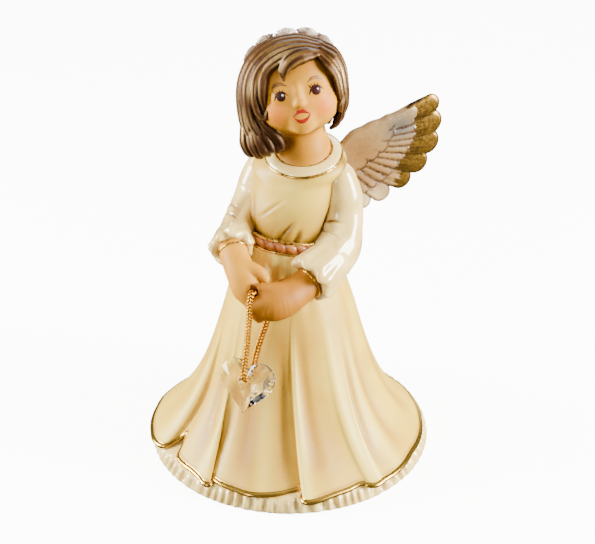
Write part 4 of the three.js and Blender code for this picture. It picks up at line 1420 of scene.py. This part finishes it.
# Locks of hair in the head's own frame: the points they pass through, and their half-widths.
SWEEP_LOCKS = [
    ([(8, -10.4, 9.2), (4.5, -12.8, 9.3), (1, -14.2, 8.9), (-1.8, -14.8, 7.3), (-3.2, -14.9, 5.2),
      (-3.4, -14.7, 3.1)], [1.4, 2.4, 2.8, 2.7, 1.9, 0.4]),
    ([(8.6, -8.8, 9.1), (4, -11.2, 10.2), (-1, -12.4, 10.2), (-6.2, -12.2, 8.4), (-9.3, -11.6, 5.3),
      (-10.4, -11.4, 2), (-10.9, -10.8, -1.4), (-10.8, -9.6, -5.4)],
     [1.3, 2, 2.3, 2.2, 1.9, 1.8, 1.6, 0.9]),
    ([(9, -7.4, 9.9), (3, -10, 11.5), (-4, -11.2, 10.9), (-9.8, -10.8, 7.7), (-12.3, -10.2, 3.6),
      (-13.3, -9.7, -2), (-12.9, -9.4, -6.2), (-11.3, -9.9, -7.8), (-10.2, -10.6, -5.8)],
     [1.3, 2, 2.3, 2.3, 2, 1.8, 1.5, 1.2, 0.7]),
    ([(9.3, -5.8, 10.7), (3, -7.9, 12.5), (-5, -8.8, 12), (-11.2, -8.6, 8.4), (-14.3, -7.8, 3.6),
      (-15.5, -7, -3), (-15.2, -6.2, -9), (-13.4, -5.4, -13.4)], [1.4, 2.3, 2.6, 2.6, 2.4, 2.3, 2.2, 1.8]),
    ([(9.6, -4, 11.3), (3, -5.4, 13.5), (-6, -6, 12.7), (-12.5, -5.4, 8.7), (-15.7, -4.6, 3.6),
      (-17, -3.8, -3.6), (-17, -3, -10), (-15.8, -2.6, -14.6)], [1.4, 2.4, 2.8, 2.8, 2.6, 2.5, 2.4, 2]),
    ([(9.4, -1.6, 12), (2.6, -2.2, 14.1), (-6.6, -2.4, 13), (-13, -1.8, 8.6), (-16.1, -1, 3.4),
      (-17.5, -0.2, -3), (-17.7, 0.4, -9.5), (-17.2, 0.8, -14.6)], [1.6, 2.6, 3, 2.9, 2.7, 2.6, 2.5, 2.1]),
    ([(8.6, 1.6, 12.6), (1, 2, 14.3), (-7.4, 2.2, 12.7), (-12.9, 2.6, 8.4), (-15.6, 3.2, 3),
      (-16.6, 3.8, -4), (-16.4, 4, -10.5), (-15.8, 4, -14.6)], [1.6, 2.8, 3.1, 3.1, 2.9, 2.8, 2.6, 2]),
    ([(7, 4.6, 12.7), (0, 6, 13.8), (-7, 7, 11.8), (-11.8, 7.6, 7.6), (-14, 8, 2), (-14.4, 8, -4.6),
      (-13.8, 7.6, -10.6), (-12.8, 7, -14.4)], [1.6, 2.8, 3.1, 3.1, 3, 2.8, 2.5, 1.8]),
]
LEFT_LOCKS = [
    ([(9.2, -10.2, 7.6), (10.9, -10.7, 5.0), (12.6, -9.7, 1.6), (13, -8.9, -2.6), (12.9, -7.8, -6.4),
      (12, -6.8, -9.4)], [1.5, 2.2, 1.9, 1.6, 1.4, 0.8]),
    ([(9.8, -8, 9.5), (12.7, -8.6, 6.4), (13.9, -7.9, 2.4), (14, -7, -2.6), (13.7, -5.6, -7.4),
      (12.5, -4.4, -11.2)], [1.5, 2.2, 2.1, 2, 1.9, 1.2]),
    ([(10, -5.2, 10.7), (13.5, -5, 7.3), (14.9, -4.2, 2.8), (14.9, -3.2, -3), (14.1, -2, -8.4),
      (12.2, -1, -12.6)], [1.6, 2.3, 2.3, 2.2, 2, 1.2]),
    ([(9.6, -1.8, 11.8), (13.4, -1, 8.1), (15, 0, 3.4), (14.9, 0.8, -3), (13.8, 1.6, -9),
      (11.6, 2, -13.4)], [1.8, 2.5, 2.6, 2.5, 2.3, 1.3]),
    ([(8.4, 2.4, 12.6), (12.3, 3.6, 8.9), (14.4, 4.6, 3.6), (14.2, 5, -3), (13, 5.2, -9.2),
      (10.8, 5, -13.8)], [1.8, 2.7, 2.8, 2.7, 2.4, 1.4]),
    ([(6.6, 5.6, 12.7), (9.8, 8, 8.9), (11.8, 9.4, 3.8), (11.8, 9.8, -3), (10.6, 9.6, -9.2),
      (8.6, 9, -13.6)], [1.8, 2.9, 3, 2.9, 2.6, 1.5]),
]
BACK_LOCKS = [
    ([(4.5, 6, 13.4), (0.9 * x, 10.6, 10.4), (x, 13.4, 4.6), (1.02 * x, 14.6, -2.6), (0.98 * x, 13.6, -9),
      (0.9 * x, 11.6, -13.8 + 0.6 * (k % 2))], [1.6, 2.8, 3.1, 3, 2.7, 1.6])
    for k, x in enumerate((-9.4, -5.2, -0.8, 3.6, 8))
]
BUNDLE_LOCKS = [
    ([(-17.6, 0.5, -4), (-17.6, 0.3, -9), (-18.2, -0.2, -12.5), (-18.6, -0.4, -15.6), (-17.8, 0.2, -18.2),
      (-16, 1.6, -19)], [2.2, 2.1, 2.6, 2.9, 2.4, 1.2]),
    ([(-16.2, -2.4, -5), (-16, -2.6, -10), (-16.2, -2.9, -14), (-16, -2.8, -17.3), (-15.2, -1.6, -19.4),
      (-14, 0.4, -19.6)], [2.1, 2.1, 2.5, 2.7, 2, 1]),
    ([(-14.8, -4.8, -8), (-14.4, -4.8, -12), (-13.9, -4.6, -15.6), (-13.4, -3.8, -18.2), (-12.6, -2, -19.4)],
     [1.9, 2.1, 2.5, 2.4, 1.4]),
    ([(-13.4, -6, -9), (-12.6, -5.8, -12.5), (-11.8, -5.2, -15.6), (-11.2, -4.2, -17.8),
      (-10.6, -2.6, -18.8)], [1.4, 1.9, 2.2, 2.1, 1.2]),
    ([(-13.6, -7.4, -6), (-12, -7.4, -9.5), (-10, -6.8, -12.6), (-8.6, -5.8, -15.2), (-8.4, -4.8, -17.4),
      (-9.4, -3.8, -18.6)], [1.2, 1.6, 1.9, 2.1, 2.1, 1.4]),
    ([(-17, 3.4, -6), (-17.2, 3.6, -12), (-17, 3.4, -16.6), (-16.2, 3, -19.2)], [2.4, 2.6, 2.5, 1.5]),
    ([(-14.4, 5.4, -9), (-14.6, 5.2, -14), (-14.2, 4.4, -17.6), (-13.4, 3.6, -19.6)], [2.3, 2.5, 2.3, 1.4]),
]
EAR_LOCKS = [
    ([(13.8, -7, -4.2), (13.3, -8, -6.4), (12.4, -8.3, -8.2), (12.3, -7.4, -9.6)], [0.9, 1.3, 1.3, 0.8]),
    ([(13.4, 0.4, -8), (12.6, -0.6, -11.4), (11.4, -1.2, -13.2), (10.6, -0.8, -14)], [1.6, 2, 1.8, 1]),
    ([(12.4, 4, -9), (11.2, 3.4, -13.4), (9.9, 2.6, -15), (9, 2.4, -15.4)], [2, 2.2, 1.9, 1]),
]
HAIR_MIDDLE = (0, 2, -1)
# Where the gold lustre is brushed on most, and how far it reaches; and the middle of the painted shade on
# the bundle by the nape.
GILDED = [((-3, -13, 9.8), 3.2), ((14, -7.5, 1), 3.6), ((-13, -9.5, 2), 2.4), ((-17.8, -3, -9), 4.4)]
NAPE_SHADE = (-10.5, -5, -14)


def make_locks(table):
    return [Limb(points, radii, centre=HAIR_MIDDLE, depth=0.72, grooves=6, groove_depth=0.085)
            for points, radii in table]


def cap_field(p):
    """The hair under the locks: a cap without the face and without the nape."""
    cap = ellipsoid_field(p, (0, 2, 0.2), (16.2, 15.6, 14.2))
    face = -(0.88 * p[:, 1] + 0.46 * p[:, 2] + 2.2)
    nape = -(p[:, 2] + 11.5)
    return np.maximum(cap, np.maximum(face, nape))


def add_hair(name, table, material, replaces, low, high, with_cap=False):
    """Locks of hair fused into one cast; each lock's own directions guide the painted strands."""
    locks = make_locks(table)

    def field(p):
        value = cap_field(p) if with_cap else np.full(len(p), FAR)
        for lock in locks:
            value = blended(value, lock.field(p), 0.3)
        return value

    points, faces = polygonise(field, low, high, HAIR_CELL)
    nearest = np.full(len(points), FAR)
    across, along, crest = np.zeros((3, len(points)))
    crest += 0.4
    for k, lock in enumerate(locks):
        value = lock.field(points)
        mine = value < nearest
        nearest = np.where(mine, value, nearest)
        place, radius, a, b, _ = lock.section(points[mine])
        angle = np.arctan2(a, b)
        across[mine] = (angle * radius + 9 * k) * MM
        along[mine] = place * MM
        edge = smoothstep(np.abs(angle), 0.9, 1.5)
        crest[mine] = (0.5 + 0.5 * np.cos(lock.grooves * angle)) * (1 - edge)
    lustre = 0.4 + 0.4 * noise(points, 16, seed=4)
    gilt = sum(bell(distance(points, place), size) for place, size in GILDED)
    # Painted shade: the crests are darkened on the bundle by the nape.
    crest = crest * (1 - 0.8 * bell(distance(points, NAPE_SHADE), 6))
    add_piece(name, head_to_world(points), faces, material, replaces=replaces,
              fields={"across": across, "along": along, "crest": crest, "lustre": lustre,
                      "gilt": np.clip(gilt, 0, 1)})


WREATH_ROSES = 10
WREATH_TILT, WREATH_SPREAD = 42, 40
WREATH_RADII, WREATH_MIDDLE = np.array([17.9, 17.3, 15.2]), np.array([0, 2, 0.6])
ROSE_RADIUS = 3.5
# Rings of petals from the outside in: how many, distance from the middle, height, and lean outwards.
PETALS = [(5, 3.0, 2.3, 0.75), (5, 2.35, 2.9, 0.4), (4, 1.6, 3.3, 0.15), (3, 0.85, 3.5, 0.0)]


PETAL_LAP = 1.25                         # how much wider a petal is than its share of the ring
PETAL_THICK = 0.26
ROSE_DROP = 1.2


def rose_mesh(seed):
    """A full-blown rose with its middle upwards: rings of thick petals round a bud."""
    random = np.random.default_rng(seed)
    points, faces, edges, deeps = [], [], [], []
    count = 0
    across = np.linspace(-1, 1, 11)
    up = np.linspace(0, 1, 9)
    for number, distance, height, lean in PETALS:
        start = random.uniform(0, 360)
        for k in range(number):
            middle = start + 360 * k / number
            half = PETAL_LAP * 180 / number
            rows = []
            for v in up:
                roundness = np.sqrt(np.clip(1 - (0.94 * v) ** 4, 0, 1))
                a = np.radians(middle + half * across * (0.55 + 0.45 * roundness))
                crown = height * (v - 0.14 * v * across ** 2)
                r = distance * (0.35 + 0.65 * np.sin(1.35 * v + 0.2)) + lean * v ** 3 + 0.15 * across * v
                thick = PETAL_THICK * (1 - 0.3 * v)
                front = np.stack([(r + thick) * np.cos(a), (r + thick) * np.sin(a), crown], 1)
                back = np.stack([(r - thick) * np.cos(a), (r - thick) * np.sin(a), crown], 1)
                rows.append(np.vstack([front, back[::-1]]))
                near_edge = np.maximum(smoothstep(v + 0 * across, 0.86, 0.99),
                                       smoothstep(np.abs(across), 0.88, 1.0))
                edges.append(np.concatenate([near_edge, near_edge]))
                deeps.append(np.full(22, 1 - v))
            part, part_faces = tube(np.stack(rows))
            edges.append([1, 1])
            deeps.append([0, 1])
            faces += [f + count for f in part_faces]
            points.append(part)
            count += len(part)
    quads, fans = [np.vstack([f for f in faces if f.shape[1] == size]) for size in (4, 3)]
    fields = {"edge": np.concatenate(edges), "deep": np.concatenate(deeps)}
    return np.vstack(points) - ROSE_DROP * UP, [quads, fans], fields


def add_rose(index, material):
    direction = turn("z", 360 * index / WREATH_ROSES) @ turn("x", WREATH_SPREAD) @ UP
    direction = turn("x", -WREATH_TILT) @ direction
    points, faces, fields = rose_mesh(index)
    side = unit(np.cross(direction, [0.3, 1, 0.2]))
    frame_of = np.stack([side, np.cross(direction, side), direction], 1)
    size = ROSE_RADIUS / 3.75
    place = WREATH_MIDDLE + WREATH_RADII * direction
    points = head_to_world((size * points) @ frame_of.T + place)
    add_piece(f"rose_{index + 1:02d}", points, faces, material,
              replaces=f"wreath_rose_{index + 1:02d}", fields=fields)


# ------------------------------------------------------------------ wings

WING_ROOT, WING_SWEEP = (9.5, 14.5), 45
WING_BOX = (-3.5, -2.6, 78), (41, 4.8, 121)
NO_GOLD = 9.0
# Feathers in the wing's own plane: root, tip, half-width, and where along them gold begins.
LONG_FEATHERS = [
    ((2, 96), (10.4, 84.6), 3.0, 2), ((4, 98), (16.8, 86.8), 3.6, 2), ((7, 100), (24.2, 90.6), 4.0, 0.88),
    ((9, 102), (30.0, 95.6), 4.4, 0.56), ((11, 105), (34.0, 102.0), 4.5, 0.6),
    ((14, 108), (34.9, 108.9), 4.4, 0.62), ((16, 110.5), (34.6, 115.4), 3.5, 0.48),
]
SHORT_FEATHERS = [
    ((1, 98), (8, 88.5), 1.7), ((2.5, 98.5), (10.8, 89.2), 1.6), ((4, 99), (13.6, 90.6), 1.6),
    ((5.5, 100), (16.6, 92.2), 1.6), ((7, 101), (19.2, 94.2), 1.6), ((8, 102), (21.6, 96.4), 1.6),
    ((9, 103), (23.6, 98.8), 1.6), ((10, 104), (25.2, 101.2), 1.5), ((11, 105), (26.6, 103.6), 1.5),
    ((12, 106.3), (27.4, 105.8), 1.5), ((13, 107.5), (27.6, 108), 1.4), ((14.5, 110), (26.8, 110.6), 1.4),
]
COVERT_SCALLOPS = [
    ((2, 100), (4.4, 97.6), 3.2), ((6, 101.5), (8.6, 99.8), 3.2), ((9.5, 103), (12.6, 102.4), 3.2),
    ((12.5, 105.5), (16, 104.8), 3.2), ((14.5, 108), (18, 108.2), 3.0), ((14.5, 111), (18.5, 111.4), 2.6),
]
# Every feather from the back layer to the front: the same, then its height and how flat it is.
FEATHERS = ([(*feather, 0.0, 1.0) for feather in LONG_FEATHERS]
            + [(*feather, NO_GOLD, 0.3, 1.0) for feather in SHORT_FEATHERS]
            + [(*feather, NO_GOLD, 0.62, 0.6) for feather in COVERT_SCALLOPS])
# The fleshy leading edge: points in the wing's plane, each with its radius.
WING_ARM = [(-1, 96, 6.4), (3.5, 100, 6.2), (9, 105.2, 6.0), (14, 108.2, 4.8), (19, 111.4, 2.8),
            (27, 113.6, 2.2)]


def feather_place(u, v, root, tip, width):
    """Distance outside a feather, place along it, and place across it."""
    root, tip = np.array(root, float), np.array(tip, float)
    step = tip - root
    length = np.linalg.norm(step)
    t = ((u - root[0]) * step[0] + (v - root[1]) * step[1]) / length ** 2
    across = ((v - root[1]) * step[0] - (u - root[0]) * step[1]) / length
    inside_t = np.clip(t, 0, 1)
    half = width * (0.62 + 0.38 * smoothstep(inside_t, 0, 0.75))
    return np.hypot(across, (t - inside_t) * length) - half, t, across / half


def wing_arm_field(u, v):
    arm = np.full(u.shape, 9.0)
    for (u0, v0, r0), (u1, v1, r1) in zip(WING_ARM[:-1], WING_ARM[1:]):
        step = np.array([u1 - u0, v1 - v0])
        t = np.clip(((u - u0) * step[0] + (v - v0) * step[1]) / (step @ step), 0, 1)
        reach = np.hypot(u - mix(u0, u1, t), v - mix(v0, v1, t)) - mix(r0, r1, t)
        arm = blended(arm, reach, 1.0)
    return arm


def feather_paint(outside, along, across, golden, shafted):
    """The painted lines, the gold and its dark streaks on one feather."""
    edge = 1 - smoothstep(-outside, 0.35, 1.25)
    shaft = (shafted * (1 - smoothstep(np.abs(np.abs(across) - 0.36), 0.08, 0.22))
             * (1 - smoothstep(along, 0.6, 0.95)) * smoothstep(along, 0.05, 0.2))
    ragged = 0.05 * np.sin(9 * across + 5 * golden) + 0.04 * np.sin(23 * across)
    gold = smoothstep(along + ragged, golden, golden + 0.07)
    brushed = 0.5 + 0.5 * np.sin(7 * across + 2.5 * along + 3 * golden) * np.sin(15 * across + 1.3)
    streak = np.maximum(0.75 * brushed, edge) * (1 - 0.6 * smoothstep(along, 0.8, 1.0))
    return np.maximum(edge, shaft), gold, streak


def wing_layers(u, v):
    """How far points are outside the wing, how raised its face is, and its painted fields."""
    best = np.full(u.shape, -9.0)
    paint = np.zeros((3,) + u.shape)
    outline = np.full(u.shape, 9.0)
    for root, tip, width, golden, height, flatness in FEATHERS:
        outside, along, across = feather_place(u, v, root, tip, width)
        across = flatness * across
        shafted = height == 0
        if shafted:
            outline = np.minimum(outline, outside)
        crown = height + 0.34 * np.clip(1 - across ** 2, 0, 1) - 0.12 * across
        crown = np.where(outside < 0, crown, -9)
        top = crown > best
        best = np.where(top, crown, best)
        paint = np.where(top, feather_paint(outside, along, across, golden, shafted), paint)
    arm = wing_arm_field(u, v)
    dome = np.where(arm < 0, 0.7 + 0.55 * np.clip(-arm / 4, 0, 1), -9)
    line, gold, streak = paint
    bare = dome > best
    return (blended(outline, arm, 0.6), np.where(bare, dome, best), np.where(bare, 0, line),
            np.where(bare, 0, gold), streak)


def wing_field(p):
    """Layered feathers in low relief on both faces of a thin blade."""
    outside, relief, _, _, _ = wing_layers(p[:, 0], p[:, 2])
    relief = np.where(relief > -5, relief, 0)
    thick = 0.25 + np.sqrt(np.clip(-outside / 1.1, 0, 1)) * (0.5 + 0.75 * np.clip(relief, 0, 2))
    face = np.abs(p[:, 1] - 0.0022 * (p[:, 0] - 8) ** 2) - thick
    near = np.where(outside > 0, np.hypot(outside, np.maximum(face, 0)), np.maximum(face, outside))
    return 0.8 * near


def add_wing(side, material):
    points, faces = polygonise(wing_field, *WING_BOX, WING_CELL)
    u, v = points[:, 0], points[:, 2]
    outside, _, line, gold, streak = wing_layers(u, v)
    line = line * np.maximum(smoothstep(-outside, 0.6, 1.8), smoothstep(-v, -106, -104))
    warm = 0.75 * bell(np.hypot(u - 9, v - 104), 6.5) + 0.5 * bell(np.hypot(u - 14, v - 92), 8)
    cool = 0.85 * bell(np.hypot((u - 23) / 1.3, v - 109.5), 5.2)
    pale = 0.8 * bell(np.hypot(u - 13, v - 84), 5) + 0.35 * bell(np.hypot(u - 27, v - 90), 4)
    placed = points @ turn("z", WING_SWEEP).T + np.array([*WING_ROOT, 0])
    if side == "right":
        placed[:, 0] = 2 * CHEST_X - placed[:, 0]
    fields = {"line": line, "gold": gold, "streak": streak, "warm": warm, "cool": cool, "pale": pale}
    add_piece(f"feathered_wing_{side}", placed, faces, material, replaces=f"wing_{side}",
              fields={name: np.clip(values, 0, 1) for name, values in fields.items()})


# ------------------------------------------------------------------ everything together

def build():
    add_camera()
    add_studio()
    add_floor()
    add_ribbon(ribbon_paint())
    add_heart(crystal_paint())
    pearl, gold, skin, hair = pearl_paint(), gold_paint(), skin_paint(), hair_paint()
    add_skirt(dress_paint())
    add_petticoat(pearl)
    add_bodice(bodice_paint())
    add_belt(belt_paint(), gold)
    add_collar(pearl, gold)
    for side in ("left", "right"):
        add_sleeve(side, pearl)
        add_cuff(side, pearl)
        add_forearm(side, skin)
        add_cuff_gold(side, gold)
    add_head(skin)
    dark = face_paint("eye_maroon", "340a04", "1e0402", 0.5)
    white = face_paint("eye_glint", "ffffff", "f2efe9", 0.2)
    brown = face_paint("brow_ochre", "7a4a08", "663c05", 0.4)
    red = face_paint("lip_red", "921d02", "801802", 0.45)
    for name, side in (("right", -1), ("left", 1)):
        add_eye(name, side, dark, white, brown)
    add_mouth(red)
    add_hair("hair_cast", SWEEP_LOCKS + LEFT_LOCKS + BACK_LOCKS, hair, "hair",
             (-22, -18.5, -18), (19, 19.5, 22), with_cap=True)
    add_hair("side_bundle_right", BUNDLE_LOCKS, hair, "side_lock_right",
             (-23, -11, -23.5), (-4, 9.5, -0.5))
    add_hair("side_curls_left", EAR_LOCKS, hair, "side_lock_left", (4, -12, -20), (18, 8, -1))
    rose = rose_paint()
    for index in range(WREATH_ROSES):
        add_rose(index, rose)
    wing = wing_paint()
    for side in ("left", "right"):
        add_wing(side, wing)
    floor_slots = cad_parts["base_floor"].data.materials
    floor_slots.clear()
    floor_slots.append(bisque_paint())


build()
